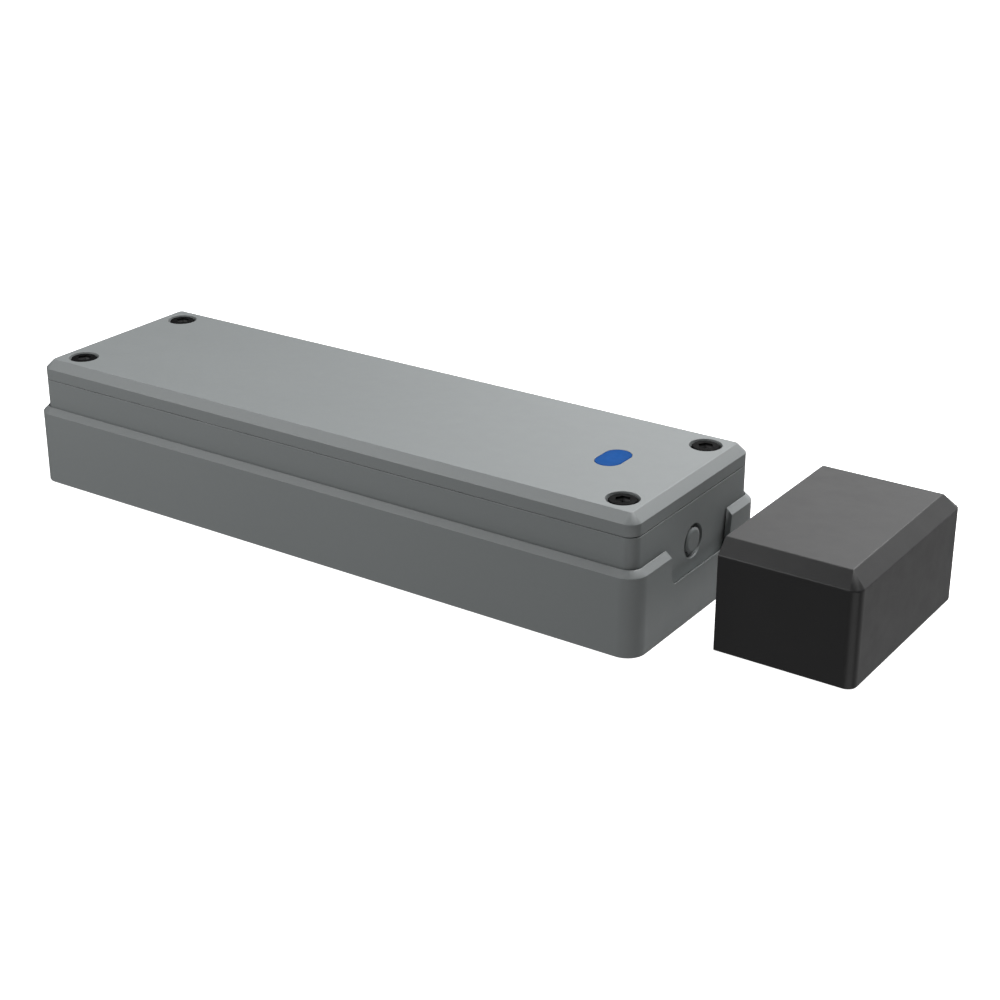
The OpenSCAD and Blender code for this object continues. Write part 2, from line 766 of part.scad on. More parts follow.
// Controller chip with its legs
module microcontroller() {
    legs = floor((chip_size - leg_pitch) / leg_pitch);
    color("black")
    on_board(chip_x, -chip_y) {
        translate([-chip_size / 2, -chip_size / 2, chip_lift]) cube([chip_size, chip_size, chip_t]);
        for (a = [0, 90, 180, 270], i = [0:legs - 1])
            rotate([0, 0, a])
                translate([chip_size / 2 - bite, (i - (legs - 1) / 2) * leg_pitch - leg_w / 2, 0])
                    cube([leg_l + bite, leg_w, leg_t]);
    }
}

// Bent sheet metal antenna on three legs: feed and ground at one end, a stay at the other
module antenna() {
    color("gold")
    on_board(antenna_x, -post_y) {
        translate([-antenna_l / 2, -antenna_w / 2, antenna_h - antenna_t])
            cube([antenna_l, antenna_w, antenna_t]);
        for (x = [-antenna_l / 2, antenna_feed - antenna_l / 2, antenna_l / 2 - antenna_t])
            translate([x, -antenna_w / 2, 0]) cube([antenna_t, antenna_leg, antenna_h - antenna_t / 2]);
    }
}

// Can that buffers the radio's current
module storage_capacitor() {
    foot = capacitor_d + 2 * capacitor_rim;
    color("gainsboro")
    on_board(chip_x, capacitor_y) {
        translate([-foot / 2, -foot / 2, 0]) cube([foot, foot, capacitor_foot]);
        cylinder(h = capacitor_h - capacitor_edge, d = capacitor_d);
        translate([0, 0, capacitor_h - capacitor_edge])
            cylinder(h = capacitor_edge, d1 = capacitor_d, d2 = capacitor_d - 2 * capacitor_edge);
    }
}

// Switch on the board, worked sideways by the button
module button_switch() {
    color("black")
    difference() {
        translate([switch_x - switch_l, -switch_w / 2, board_top])
            cube([switch_l, switch_w, button_z + switch_w / 2 - board_top]);
        translate([switch_x - stem_grip - button_travel - switch_gap, 0, button_z])
            rotate([0, 90, 0]) cylinder(h = switch_l, d = stem_d + 2 * button_play);
    }
}

// Stem of the switch. It touches the back of the button and moves with it
module switch_stem() {
    color("ivory")
    translate([switch_x - stem_grip, 0, button_z])
        rotate([0, 90, 0]) cylinder(h = stem_grip + switch_gap + button_travel, d = stem_d);
}

// Round button in the case's end, with a flange inside that stops it from falling out
module push_button() {
    r = button_d / 2;
    flange_r = r + button_flange;
    groove_r = button_groove_d / 2;
    half = (r + button_play - groove_r) / 2 + groove_play;
    color("slategray")
    on_button_axis()
        rotate_extrude()
            polygon([[0, -bore_l - button_flange_t], [flange_r, -bore_l - button_flange_t],
                     [flange_r, -bore_l], [r, -bore_l], [r, seal_mid - half], [groove_r, seal_mid - half],
                     [groove_r, seal_mid + half], [r, seal_mid + half], [r, button_proud - button_edge],
                     [r - button_edge, button_proud], [0, button_proud]]);
}

// Rubber ring in the button's groove
module button_seal() {
    section = (button_d / 2 + button_play - button_seal_play - button_groove_d / 2) / 2;
    color("black")
    on_button_axis()
        translate([0, 0, seal_mid])
            rotate_extrude() translate([button_groove_d / 2 + section, 0]) circle(r = section);
}

// Open holder that clips round the cell
module battery_holder() {
    opening = holder_w - 2 * (holder_wall + holder_lip);
    color("black")
    difference() {
        union() {
            translate([holder_x, -holder_w / 2, inside_z]) cube([holder_l, holder_w, holder_side_z - inside_z]);
            for (x = [holder_x, holder_x + holder_l - holder_end])
                translate([x, -contact_w / 2 - holder_lip, inside_z])
                    cube([holder_end, contact_w + 2 * holder_lip, holder_end_z - inside_z]);
        }
        translate([holder_x + holder_end, 0, cell_z])
            rotate([0, 90, 0]) cylinder(h = holder_l - 2 * holder_end, r = cell_d / 2 + cell_play);
        translate([holder_x + holder_end, -opening / 2, cell_z])
            cube([holder_l - 2 * holder_end, opening, cell_d]);
    }
}

// Lithium cell of the common AA size
module battery_cell() {
    can_l = cell_l - terminal_l;
    r = cell_d / 2;
    color("mediumseagreen")
    translate([cell_x, 0, cell_z])
        rotate([0, 90, 0])
            rotate_extrude()
                polygon([[0, 0], [r - cell_edge, 0], [r, cell_edge], [r, can_l - cell_edge], [r - cell_edge, can_l],
                         [terminal_d / 2, can_l], [terminal_d / 2, cell_l], [0, cell_l]]);
}

// Sheet metal contact at the origin of X: a plate inside the end wall, a bridge over it
// and a tail outside, down to a foot on the board
module contact() {
    outside = -holder_end - contact_t;
    translate([0, -contact_w / 2, cell_z - contact_h / 2])
        cube([contact_t, contact_w, holder_end_z + contact_t - cell_z + contact_h / 2]);
    translate([outside, -tail_w / 2, holder_end_z]) cube([contact_t - outside, tail_w, contact_t]);
    translate([outside, -tail_w / 2, board_top])
        cube([contact_t, tail_w, holder_end_z + contact_t - board_top]);
    translate([outside - tail_foot, -tail_w / 2, board_top]) cube([tail_foot + contact_t, tail_w, contact_t]);
}

// Contact at the cell's base, with a pressed dome
module negative_contact() {
    color("silver")
    translate([holder_x + holder_end, 0, 0]) {
        contact();
        translate([contact_t, 0, cell_z])
            rotate([0, 90, 0]) cylinder(h = contact_dome, d1 = dome_d, d2 = dome_top_d);
    }
}

// Flat contact at the cell's terminal
module positive_contact() {
    color("silver")
    translate([holder_x + holder_l - holder_end, 0, 0]) mirror([1, 0, 0]) contact();
}

module at_magnet() {
    translate([magnet_x + magnet_l / 2, magnet_y, 0]) children();
}

// Plan of the block: square corners towards the case, round ones away from it
module magnet_plan() {
    translate([-magnet_l / 2, -magnet_w / 2]) square([magnet_l - magnet_r, magnet_w]);
    translate([0, -magnet_w / 2 + magnet_r]) square([magnet_l / 2, magnet_w - 2 * magnet_r]);
    for (y = [-1, 1]) translate([magnet_l / 2 - magnet_r, y * (magnet_w / 2 - magnet_r)]) circle(r = magnet_r);
}

// Profile across the block, with both upper edges cut at 45 degrees
module magnet_bar(length, low, high, c_low, c_high) {
    rotate([90, 0, 90])
        linear_extrude(length, center = true)
            polygon([[low, -over], [high, -over], [high, magnet_h - c_high], [high - c_high, magnet_h],
                     [low + c_low, magnet_h], [low, magnet_h - c_low]]);
}

// Black shell of the magnet block, open below, with posts for the base plate's screws
// and ribs that box in the bar magnet
module magnet_case() {
    inner_l = magnet_l - 2 * magnet_wall;
    inner_w = magnet_w - 2 * magnet_wall;
    bar_right = bar_x + bar_l / 2 + bar_gap - magnet_x - magnet_l / 2;
    rib_z = plate_t + bar_h / 2;
    color("black")
    at_magnet()
        difference() {
            union() {
                difference() {
                    intersection() {
                        linear_extrude(magnet_h) magnet_plan();
                        magnet_bar(2 * magnet_l, -magnet_w / 2, magnet_w / 2, magnet_chamfer, magnet_chamfer);
                        rotate([0, 0, -90])
                            mirror([0, 1, 0])
                                magnet_bar(2 * magnet_w, -magnet_l, magnet_l / 2, 0, magnet_chamfer);
                    }
                    translate([-inner_l / 2, -inner_w / 2, -over])
                        cube([inner_l, inner_w, magnet_ceiling + over]);
                }
                at_corners(plate_screw_x, plate_screw_y)
                    translate([0, 0, plate_t]) cylinder(h = magnet_ceiling - plate_t + bite, d = plate_post_d);
                for (y = [-1, 1])
                    translate([-inner_l / 2 - bite, y * (bar_w / 2 + bar_gap + rib_t / 2) - rib_t / 2, rib_z])
                        cube([bar_right + inner_l / 2 + rib_t + bite, rib_t, magnet_ceiling - rib_z + bite]);
                translate([bar_right, -bar_w / 2 - bar_gap - bite, rib_z])
                    cube([rib_t, bar_w + 2 * (bar_gap + bite), magnet_ceiling - rib_z + bite]);
            }
            at_corners(plate_screw_x, plate_screw_y)
                translate([0, 0, plate_t - over])
                    cylinder(h = plate_screw_l + plate_screw_play - plate_t + over, d = plate_screw_d + plate_pilot_play);
        }
}

// Plate that closes the block, with countersunk screw holes
module magnet_base_plate() {
    plate_l = magnet_l - 2 * (magnet_wall + plate_gap);
    plate_w = magnet_w - 2 * (magnet_wall + plate_gap);
    sink = (plate_screw_head_d - plate_screw_d) / 2;
    color("dimgray")
    at_magnet()
        difference() {
            translate([-plate_l / 2, -plate_w / 2, 0]) cube([plate_l, plate_w, plate_t]);
            at_corners(plate_screw_x, plate_screw_y) {
                translate([0, 0, -over]) cylinder(h = plate_t + 2 * over, d = plate_screw_d + plate_screw_play);
                translate([0, 0, -over]) cylinder(h = over + plate_screw_sink, d = plate_screw_head_d + plate_screw_play);
                translate([0, 0, plate_screw_sink])
                    cylinder(h = sink, d1 = plate_screw_head_d + plate_screw_play,
                             d2 = plate_screw_d + plate_screw_play);
            }
        }
}

// Four countersunk screws under the block
module magnet_plate_screws() {
    sink = (plate_screw_head_d - plate_screw_d) / 2;
    color("silver")
    at_magnet()
        at_corners(plate_screw_x, plate_screw_y)
            translate([0, 0, plate_screw_sink])
                difference() {
                    union() {
                        cylinder(h = sink, d1 = plate_screw_head_d, d2 = plate_screw_d);
                        cylinder(h = plate_screw_l - plate_screw_sink, d = plate_screw_d);
                    }
                    cross_recess(plate_screw_head_d);
                }
}

// Bar magnet, held against the wall that faces the case
module bar_magnet() {
    color("gray")
    translate([bar_x - bar_l / 2, magnet_y - bar_w / 2, plate_t]) cube([bar_l, bar_w, bar_h]);
}

// Foam pad that keeps the bar magnet down on the plate
module magnet_pad() {
    color("darkslategray")
    translate([bar_x - bar_l / 2, magnet_y - bar_w / 2, pad_z]) cube([bar_l, bar_w, magnet_ceiling - pad_z]);
}

mounting_tray();
housing();
lid();
lid_seal();
lid_screws();
screw_inserts();
light_pipe();
circuit_board();
board_screws();
status_led();
reed_switch();
radio_module();
radio_shield();
microcontroller();
antenna();
storage_capacitor();
button_switch();
switch_stem();
push_button();
button_seal();
battery_holder();
battery_cell();
negative_contact();
positive_contact();
magnet_case();
magnet_base_plate();
magnet_plate_screws();
bar_magnet();
magnet_pad();
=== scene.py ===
from math import copysign, cos, pi, radians, sin

import bmesh
import bpy
from mathutils import Matrix, Vector


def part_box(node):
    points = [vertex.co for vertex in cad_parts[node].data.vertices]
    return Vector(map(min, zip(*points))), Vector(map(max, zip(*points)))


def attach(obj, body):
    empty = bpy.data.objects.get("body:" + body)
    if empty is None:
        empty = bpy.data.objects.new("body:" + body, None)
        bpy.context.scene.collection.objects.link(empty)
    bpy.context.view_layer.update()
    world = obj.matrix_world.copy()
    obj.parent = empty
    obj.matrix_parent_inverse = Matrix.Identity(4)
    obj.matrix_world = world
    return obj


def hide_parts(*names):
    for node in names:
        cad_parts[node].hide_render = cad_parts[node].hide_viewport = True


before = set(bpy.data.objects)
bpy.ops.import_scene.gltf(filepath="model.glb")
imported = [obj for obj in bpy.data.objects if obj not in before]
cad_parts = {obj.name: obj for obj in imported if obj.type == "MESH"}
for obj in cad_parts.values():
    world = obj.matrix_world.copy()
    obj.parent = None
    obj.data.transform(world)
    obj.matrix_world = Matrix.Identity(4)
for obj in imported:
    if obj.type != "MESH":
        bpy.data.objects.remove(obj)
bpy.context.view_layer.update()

mm = 0.001
scene = bpy.context.scene
scene.view_settings.view_transform = "Standard"

# The camera. It stands where the photograph was taken from: in front of the case and to its right,
# looking down by 24 degrees, with a lens of about 70 mm on a 36 mm sensor.
camera_place = Vector((173.56, -220.92, 126.6)) * mm
camera_azimuth = radians(-34.245)
camera_tilt = radians(23.672)
lens_length = 69.47
sensor_width = 36
nearest_seen = 10 * mm
camera_data = bpy.data.cameras.new("camera")
camera_data.lens = lens_length
camera_data.sensor_width = sensor_width
camera_data.clip_start = nearest_seen
camera = bpy.data.objects.new("camera", camera_data)
scene.collection.objects.link(camera)
camera_view = Vector((sin(camera_azimuth) * cos(camera_tilt),
                      cos(camera_azimuth) * cos(camera_tilt),
                      -sin(camera_tilt)))
camera.location = camera_place
camera.rotation_euler = camera_view.to_track_quat("-Z", "Y").to_euler()
scene.camera = camera


# The floor. A plain white sheet, much wider than the view, that glows as a light table does.
# The lamps below shine through it, so that the sides get the even light of a studio, and from
# below it can't be seen, so that the undersides show.
floor_size = 60.0
floor_white = (0.85, 0.85, 0.85, 1)
floor_glow = 1.0
floor_drop = 0.02 * mm
floor_mesh = bpy.data.meshes.new("floor")
bm = bmesh.new()
bmesh.ops.create_grid(bm, x_segments=1, y_segments=1, size=floor_size / 2)
bm.to_mesh(floor_mesh)
bm.free()
floor = bpy.data.objects.new("floor", floor_mesh)
floor.location.z = -floor_drop
scene.collection.objects.link(floor)
floor_paint = bpy.data.materials.new("floor_paint")
floor_paint.use_nodes = True
floor_tree = floor_paint.node_tree
floor_shader = floor_tree.nodes["Principled BSDF"]
floor_shader.inputs["Base Color"].default_value = floor_white
floor_shader.inputs["Roughness"].default_value = 1.0
floor_shader.inputs["Specular IOR Level"].default_value = 0.0
floor_shader.inputs["Emission Color"].default_value = floor_white
floor_shader.inputs["Emission Strength"].default_value = floor_glow
clear = floor_tree.nodes.new("ShaderNodeBsdfTransparent")
side_seen = floor_tree.nodes.new("ShaderNodeNewGeometry")
one_sided = floor_tree.nodes.new("ShaderNodeMixShader")
floor_tree.links.new(side_seen.outputs["Backfacing"], one_sided.inputs[0])
floor_tree.links.new(floor_shader.outputs[0], one_sided.inputs[1])
floor_tree.links.new(clear.outputs[0], one_sided.inputs[2])
floor_tree.links.new(one_sided.outputs[0], floor_tree.nodes["Material Output"].inputs["Surface"])
floor_mesh.materials.append(floor_paint)
floor.visible_diffuse = False
floor.visible_glossy = False
floor.visible_transmission = False
floor.visible_shadow = False


# The light. Two round softboxes hang above the case's right end, one of them farther back, and a
# third stands lower at the front left. Broad far lamps fill in from behind, from above and from
# below. The room itself is nearly dark, and only the camera sees its white backdrop.
lit_place = Vector((20.0, 0, 10.0)) * mm
softbox_width = 200 * mm
fill_spread = 70
room_white = (1, 1, 1, 1)
room_glow = 0.02
backdrop_glow = 1.0
softboxes = (("softbox_overhead", 0.36, (160, 60, 300)),
             ("softbox_behind", 0.9, (100, 160, 280)),
             ("softbox_left", 0.455, (-120, -200, 150)))
fills = (("fill_behind", 1.26, 180, 12),
         ("fill_top", 0.92, 225, 70),
         ("fill_below_right", 1.0, 45, -50),
         ("fill_below_behind", 0.545, 135, -50),
         ("fill_below_left", 0.25, 315, -50))


def towards(azimuth, elevation):
    """A direction in degrees: azimuth 0 is -Y, 90 is +X, and elevation is above the floor."""
    turn = radians(azimuth)
    rise = radians(elevation)
    return Vector((sin(turn) * cos(rise), -cos(turn) * cos(rise), sin(rise)))


def lamp(name, kind, strength, size, place, direction):
    """A sun, whose size is its spread in degrees, or a round softbox, whose size is its width."""
    data = bpy.data.lights.new(name, kind)
    data.energy = strength
    if kind == "SUN":
        data.angle = radians(size)
    else:
        data.shape = "DISK"
        data.size = size
    light = bpy.data.objects.new(name, data)
    scene.collection.objects.link(light)
    light.location = place
    light.rotation_euler = (-direction).to_track_quat("-Z", "Y").to_euler()


for name, strength, place in softboxes:
    place = Vector(place) * mm
    lamp(name, "AREA", strength, softbox_width, place, (place - lit_place).normalized())
for name, strength, azimuth, elevation in fills:
    lamp(name, "SUN", strength, fill_spread, (0, 0, 0), towards(azimuth, elevation))
room = bpy.data.worlds.new("room")
room.use_nodes = True
room_tree = room.node_tree
faint = room_tree.nodes["Background"]
faint.inputs["Color"].default_value = room_white
faint.inputs["Strength"].default_value = room_glow
backdrop = room_tree.nodes.new("ShaderNodeBackground")
backdrop.inputs["Color"].default_value = room_white
backdrop.inputs["Strength"].default_value = backdrop_glow
seen = room_tree.nodes.new("ShaderNodeLightPath")
room_mix = room_tree.nodes.new("ShaderNodeMixShader")
room_tree.links.new(seen.outputs["Is Camera Ray"], room_mix.inputs[0])
room_tree.links.new(faint.outputs[0], room_mix.inputs[1])
room_tree.links.new(backdrop.outputs[0], room_mix.inputs[2])
room_tree.links.new(room_mix.outputs[0], room_tree.nodes["World Output"].inputs["Surface"])
scene.world = room


# The mounting tray. An open tray, injection moulded in grey plastic, that is screwed or taped
# to the door frame. Its chamfered rim stands round the lower half of the case, and the notch in
# its end wall leaves room to lever the case out.
grey = (0.196, 0.209, 0.211)
tray_wall = 1.0 * mm
tray_floor = 2.2 * mm
tray_radius = 3.0 * mm
tray_chamfer = 0.9 * mm
tray_edge = 0.04 * mm
notch_floor = 7.65 * mm
notch_floor_width = 16.8 * mm
notch_rim_width = 17.8 * mm
notch_side = 0.6 * mm
notch_radius = 1.2 * mm
notch_fall = 0.85 * mm
notch_depth_in_walls = 2.2
fixing_pitch = 76.0 * mm
fixing_bore = 4.2 * mm
fixing_sink = 7.6 * mm
snap_length = 14.0 * mm
snap_place = 28.0 * mm
snap_height = 8.6 * mm
snap_radius = 0.5 * mm
snap_reach = 0.3 * mm
far_out = 2.0 * mm
same_place = 1e-7
nearly_straight = radians(0.5)
four_corners = [(x, y) for x in (-1, 1) for y in (-1, 1)]


def block(size, middle):
    """A plain block, the start of a piece or of a tool that cuts one."""
    bm = bmesh.new()
    bmesh.ops.create_cube(bm, size=1.0)
    bmesh.ops.scale(bm, vec=size, verts=bm.verts)
    bmesh.ops.translate(bm, vec=middle, verts=bm.verts)
    return bm


def bevel(bm, geom, width, steps, affect="EDGES"):
    """Rounds edges or corners. A single step cuts them off straight."""
    bmesh.ops.bevel(bm, geom=geom, offset=width, offset_type="OFFSET", segments=steps,
                    profile=0.5, affect=affect, material=-1)


def rounded_block(length, width, radius, low, high, steps=10):
    """A block with round upright corners, centred on the Z axis."""
    bm = block((length, width, high - low), (0, 0, (low + high) / 2))
    upright = [e for e in bm.edges if abs(e.verts[0].co.z - e.verts[1].co.z) > (high - low) / 2]
    bevel(bm, upright, radius, steps)
    return bm


def chamfer_top(bm, size):
    """Cuts the edges round the top face at 45 degrees."""
    top = max(v.co.z for v in bm.verts)
    rim = [e for e in bm.edges if all(abs(v.co.z - top) < same_place for v in e.verts)]
    bevel(bm, rim, size, steps=1)


def round_bar(radius, length, centre, axis="Z", far_radius=None, steps=64):
    """A cylinder, or a cone to far_radius, whose middle is at centre."""
    bm = bmesh.new()
    end = radius if far_radius is None else far_radius
    bmesh.ops.create_cone(bm, cap_ends=True, segments=steps, radius1=radius, radius2=end, depth=length)
    if axis == "X":
        bmesh.ops.rotate(bm, cent=(0, 0, 0), matrix=Matrix.Rotation(pi / 2, 3, "Y"), verts=bm.verts)
    bmesh.ops.translate(bm, vec=centre, verts=bm.verts)
    return bm


def piece(name, bm):
    """Turns a bmesh into an object whose place is in its mesh."""
    bmesh.ops.recalc_face_normals(bm, faces=bm.faces)
    mesh = bpy.data.meshes.new(name)
    bm.to_mesh(mesh)
    bm.free()
    made = bpy.data.objects.new(name, mesh)
    scene.collection.objects.link(made)
    return made


def work(target, bm, operation):
    """Cuts the bmesh from the target, or joins it on."""
    tool = piece("tool", bm)
    step = target.modifiers.new("step", "BOOLEAN")
    step.operation = operation
    step.solver = "EXACT"
    step.object = tool
    graph = bpy.context.evaluated_depsgraph_get()
    worked = bpy.data.meshes.new_from_object(target.evaluated_get(graph))
    target.modifiers.remove(step)
    target.data = worked
    bpy.data.objects.remove(tool)


def cut(target, bm):
    work(target, bm, "DIFFERENCE")


def join(target, bm):
    work(target, bm, "UNION")


def soften(target, width, steps=2, sharper_than=28, flat_above=1.0):
    """Rounds every edge that turns by more than sharper_than degrees, as a mould does.

    Faces larger than flat_above, in square metres, keep their own shade next to round ones.
    """
    bm = bmesh.new()
    bm.from_mesh(target.data)
    bmesh.ops.remove_doubles(bm, verts=bm.verts, dist=same_place)
    bmesh.ops.dissolve_limit(bm, angle_limit=nearly_straight, verts=bm.verts, edges=bm.edges)
    straight = [v for v in bm.verts
                if len(v.link_edges) == 2 and v.calc_edge_angle(0) < nearly_straight]
    bmesh.ops.dissolve_verts(bm, verts=straight)
    for face in bm.faces:
        face.smooth = face.calc_area() < flat_above
    bm.to_mesh(target.data)
    bm.free()
    edge = target.modifiers.new("edges", "BEVEL")
    edge.width = width
    edge.segments = steps
    edge.limit_method = "ANGLE"
    edge.angle_limit = radians(sharper_than)
    edge.use_clamp_overlap = True
    edge.miter_outer = "MITER_ARC"
    shade = target.modifiers.new("shading", "WEIGHTED_NORMAL")
    shade.weight = 100
    shade.keep_sharp = True


class Finish:
    """A material whose pattern is fixed to the piece by its Object coordinates, in metres."""

    def __init__(self, name):
        self.material = bpy.data.materials.new(name)
        self.material.use_nodes = True
        self.tree = self.material.node_tree
        self.shader = self.tree.nodes["Principled BSDF"]
        self.place = self.node("TexCoord").outputs["Object"]

    def node(self, kind, **given):
        """Adds a node with the given inputs. Row_Height stands for the input Row Height."""
        made = self.tree.nodes.new("ShaderNode" + kind)
        for name, value in given.items():
            self.give(made.inputs[name.replace("_", " ")], value)
        return made

    def give(self, socket, value):
        """Sets an input to a value, or links an output to it."""
        if isinstance(value, bpy.types.NodeSocket):
            self.tree.links.new(value, socket)
        else:
            socket.default_value = value

    def wear(self, **given):
        """Sets the shader's own inputs, such as Roughness or Base_Color."""
        for name, value in given.items():
            self.give(self.shader.inputs[name.replace("_", " ")], value)

    def maths(self, operation, *given):
        """Works out one number from the given ones."""
        made = self.node("Math")
        made.operation = operation
        for socket, value in zip(made.inputs, given):
            self.give(socket, value)
        return made.outputs[0]

    def vector(self, operation, *given):
        """Works out a vector from the given ones, or a number for DOT_PRODUCT and LENGTH."""
        made = self.node("VectorMath")
        made.operation = operation
        for socket, value in zip(made.inputs, given):
            self.give(socket, value)
        return made.outputs["Value" if operation in ("DOT_PRODUCT", "LENGTH") else "Vector"]

    def noise(self, size, detail=2.0, stretch=(1, 1, 1)):
        """Random grain of about the given size. A stretch below 1 draws it out along that axis."""
        drawn_out = self.node("Mapping", Vector=self.place, Scale=stretch)
        grains = self.node("TexNoise", Vector=drawn_out.outputs["Vector"], Scale=1 / size, Detail=detail)
        return grains.outputs["Fac"]

    def level(self, value, low, high, start=0.3, end=0.7):
        """Turns a value that runs from start to end into one from low to high."""
        ranged = self.node("MapRange", Value=value, From_Min=start, From_Max=end, To_Min=low, To_Max=high)
        return ranged.outputs["Result"]

    def blend(self, a, b, share, way="MIX"):
        """Mixes two colours. At a share of 0 it is a, and at 1 it is b."""
        made = self.tree.nodes.new("ShaderNodeMix")
        made.data_type = "RGBA"
        made.blend_type = way
        self.give(made.inputs["Factor"], share)
        self.give(made.inputs["A"], (*a, 1) if isinstance(a, tuple) else a)
        self.give(made.inputs["B"], (*b, 1) if isinstance(b, tuple) else b)
        return made.outputs["Result"]

    def shaded(self, colour, shade):
        """The colour times a shade, of which 1 leaves it as it is."""
        return self.blend(colour, shade, 1.0, "MULTIPLY")

    def tinted(self, colour, amount, size, stretch=(1, 1, 1)):
        """The colour, a little lighter and darker in large patches and in fine specks."""
        speck_size = 0.5 * mm
        cloud = self.level(self.noise(size, 3, stretch), 1 - amount, 1 + amount)
        speck = self.level(self.noise(speck_size), 1 - amount / 2, 1 + amount / 2)
        return self.shaded(colour, self.maths("MULTIPLY", cloud, speck))

    def bumps(self, height, depth, strength=0.6):
        """A relief of the given depth in metres, from a height between 0 and 1."""
        return self.node("Bump", Height=height, Distance=depth, Strength=strength).outputs["Normal"]

    def edges(self, reach):
        """1 on the edges, falling to 0 over the given reach. It marks where edges are painted lighter, as
        wear and as a painted highlight.
        """
        rounded = self.node("Bevel", Radius=reach)
        rounded.samples = 4
        true_normal = self.node("NewGeometry").outputs["Normal"]
        turned = self.vector("DOT_PRODUCT", rounded.outputs["Normal"], true_normal)
        return self.level(turned, 1, 0, start=0.88, end=0.995)


def moulded(name, colour, roughness, grain=0.16 * mm, depth=0.004 * mm):
    """Moulded plastic: spark-eroded grain, faint flow marks, patches of sheen, and edges painted lighter as
    wear and as a painted highlight.
    """
    wear_and_highlight_white = (0.8, 0.8, 0.8)
    finish = Finish(name)
    flow = finish.tinted(colour, 0.012, size=14 * mm, stretch=(0.4, 1, 1))
    patches = finish.level(finish.noise(2.5 * mm, detail=4), 0, 0.12)
    # Painted highlight and wear: the edges are painted towards white in patches.
    edge_wear_and_highlight = finish.maths("MULTIPLY", finish.edges(reach=0.25 * mm), patches)
    finish.wear(Base_Color=finish.blend(flow, wear_and_highlight_white, edge_wear_and_highlight))
    sheen = finish.level(finish.noise(3 * mm, detail=4), roughness - 0.025, roughness + 0.025)
    finish.wear(Roughness=sheen, Normal=finish.bumps(finish.noise(grain), depth))
    return finish.material


def dress(target, material, body, slot, *nodes):
    """Gives a new piece its material and its body, and hides the nodes it stands for. The slot is not used.
    """
    target.data.materials.clear()
    target.data.materials.append(material)
    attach(target, body)
    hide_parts(*nodes)


tray_low, tray_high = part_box("mounting_tray")
tray_length = tray_high.x - tray_low.x
tray_width = tray_high.y - tray_low.y
bm = rounded_block(tray_length, tray_width, tray_radius, 0, tray_high.z)
chamfer_top(bm, tray_chamfer)
tray = piece("tray", bm)
cut(tray, rounded_block(tray_length - 2 * tray_wall, tray_width - 2 * tray_wall,
                        tray_radius - tray_wall, tray_floor, tray_high.z + far_out))


def notch_tool():
    """A wedge as wide as the notch, with round lower edges. Its floor falls towards the case."""
    bm = bmesh.new()
    bmesh.ops.create_cube(bm, size=1.0)
    rise = tray_high.z - notch_floor
    spread = 1 + (notch_rim_width / notch_floor_width - 1) * (rise + far_out) / rise
    for corner in bm.verts:
        widening = spread if corner.co.z > 0 else 1
        corner.co.y = notch_side + corner.co.y * notch_floor_width * widening
        corner.co.x = tray_high.x + corner.co.x * notch_depth_in_walls * tray_wall
        corner.co.z = notch_floor + (corner.co.z + 0.5) * (rise + far_out)
    lower = [e for e in bm.edges
             if all(abs(v.co.z - notch_floor) < same_place for v in e.verts)
             and abs(e.verts[0].co.x - e.verts[1].co.x) > tray_wall]
    bevel(bm, lower, notch_radius, steps=8)
    for v in bm.verts:
        if v.co.z < tray_high.z:
            v.co.z += notch_fall * (v.co.x - tray_high.x) / tray_wall
    return bm


cut(tray, notch_tool())
sink_depth = (fixing_sink - fixing_bore) / 2
for side in (-1, 1):
    fixing_x = side * fixing_pitch / 2
    cut(tray, round_bar(fixing_bore / 2, 4 * tray_floor, (fixing_x, 0, 0)))
    cut(tray, round_bar(fixing_bore / 2, sink_depth, (fixing_x, 0, tray_floor - sink_depth / 2),
                        far_radius=fixing_sink / 2))
for x, y in four_corners:
    rib_middle = (x * snap_place, y * (tray_width / 2 - tray_wall), snap_height)
    join(tray, round_bar(snap_radius, snap_length, rib_middle, "X", steps=24))
soften(tray, tray_edge)
tray_plastic = moulded("tray_plastic", grey, roughness=0.5)
dress(tray, tray_plastic, "sensor", "tray_plastic", "mounting_tray")


# The housing. The lower shell of the case, moulded in the same grey plastic, closed below and
# open above. A button runs through its end wall, and the cell and the board lie in it.
case_wall = 2.0 * mm
case_floor = 1.3 * mm
case_radius = 1.85 * mm
case_edge = 0.12 * mm
screw_inset = 4.88 * mm
screw_corner = 4.2 * mm
insert_bore = 3.65 * mm
insert_depth = 5.3 * mm
groove_lip = 0.5 * mm
groove_depth = 0.9 * mm
button_height = 11.35 * mm
button_bore = 3.9 * mm
ring_width = 5.2 * mm
ring_depth = 0.5 * mm
sleeve_length = 2.0 * mm
sleeve_wall = 1.05 * mm
post_width = 4.6 * mm
post_height = 2.9 * mm
post_inset = 1.9 * mm
pilot_bore = 2.1 * mm
snap_play = 0.05 * mm
seam_height = 0.16 * mm
seam_depth = 0.22 * mm
house_low, house_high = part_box("housing")
case_length = house_high.x - house_low.x
case_width = house_high.y - house_low.y
screw_x = case_length / 2 - screw_inset
screw_y = case_width / 2 - screw_inset


def pulled_out(bm, faces):
    """Extrudes the faces and gives the new corners, which still lie where the old ones do."""
    grown = bmesh.ops.extrude_face_region(bm, geom=faces)["geom"]
    return [g for g in grown if isinstance(g, bmesh.types.BMVert)]


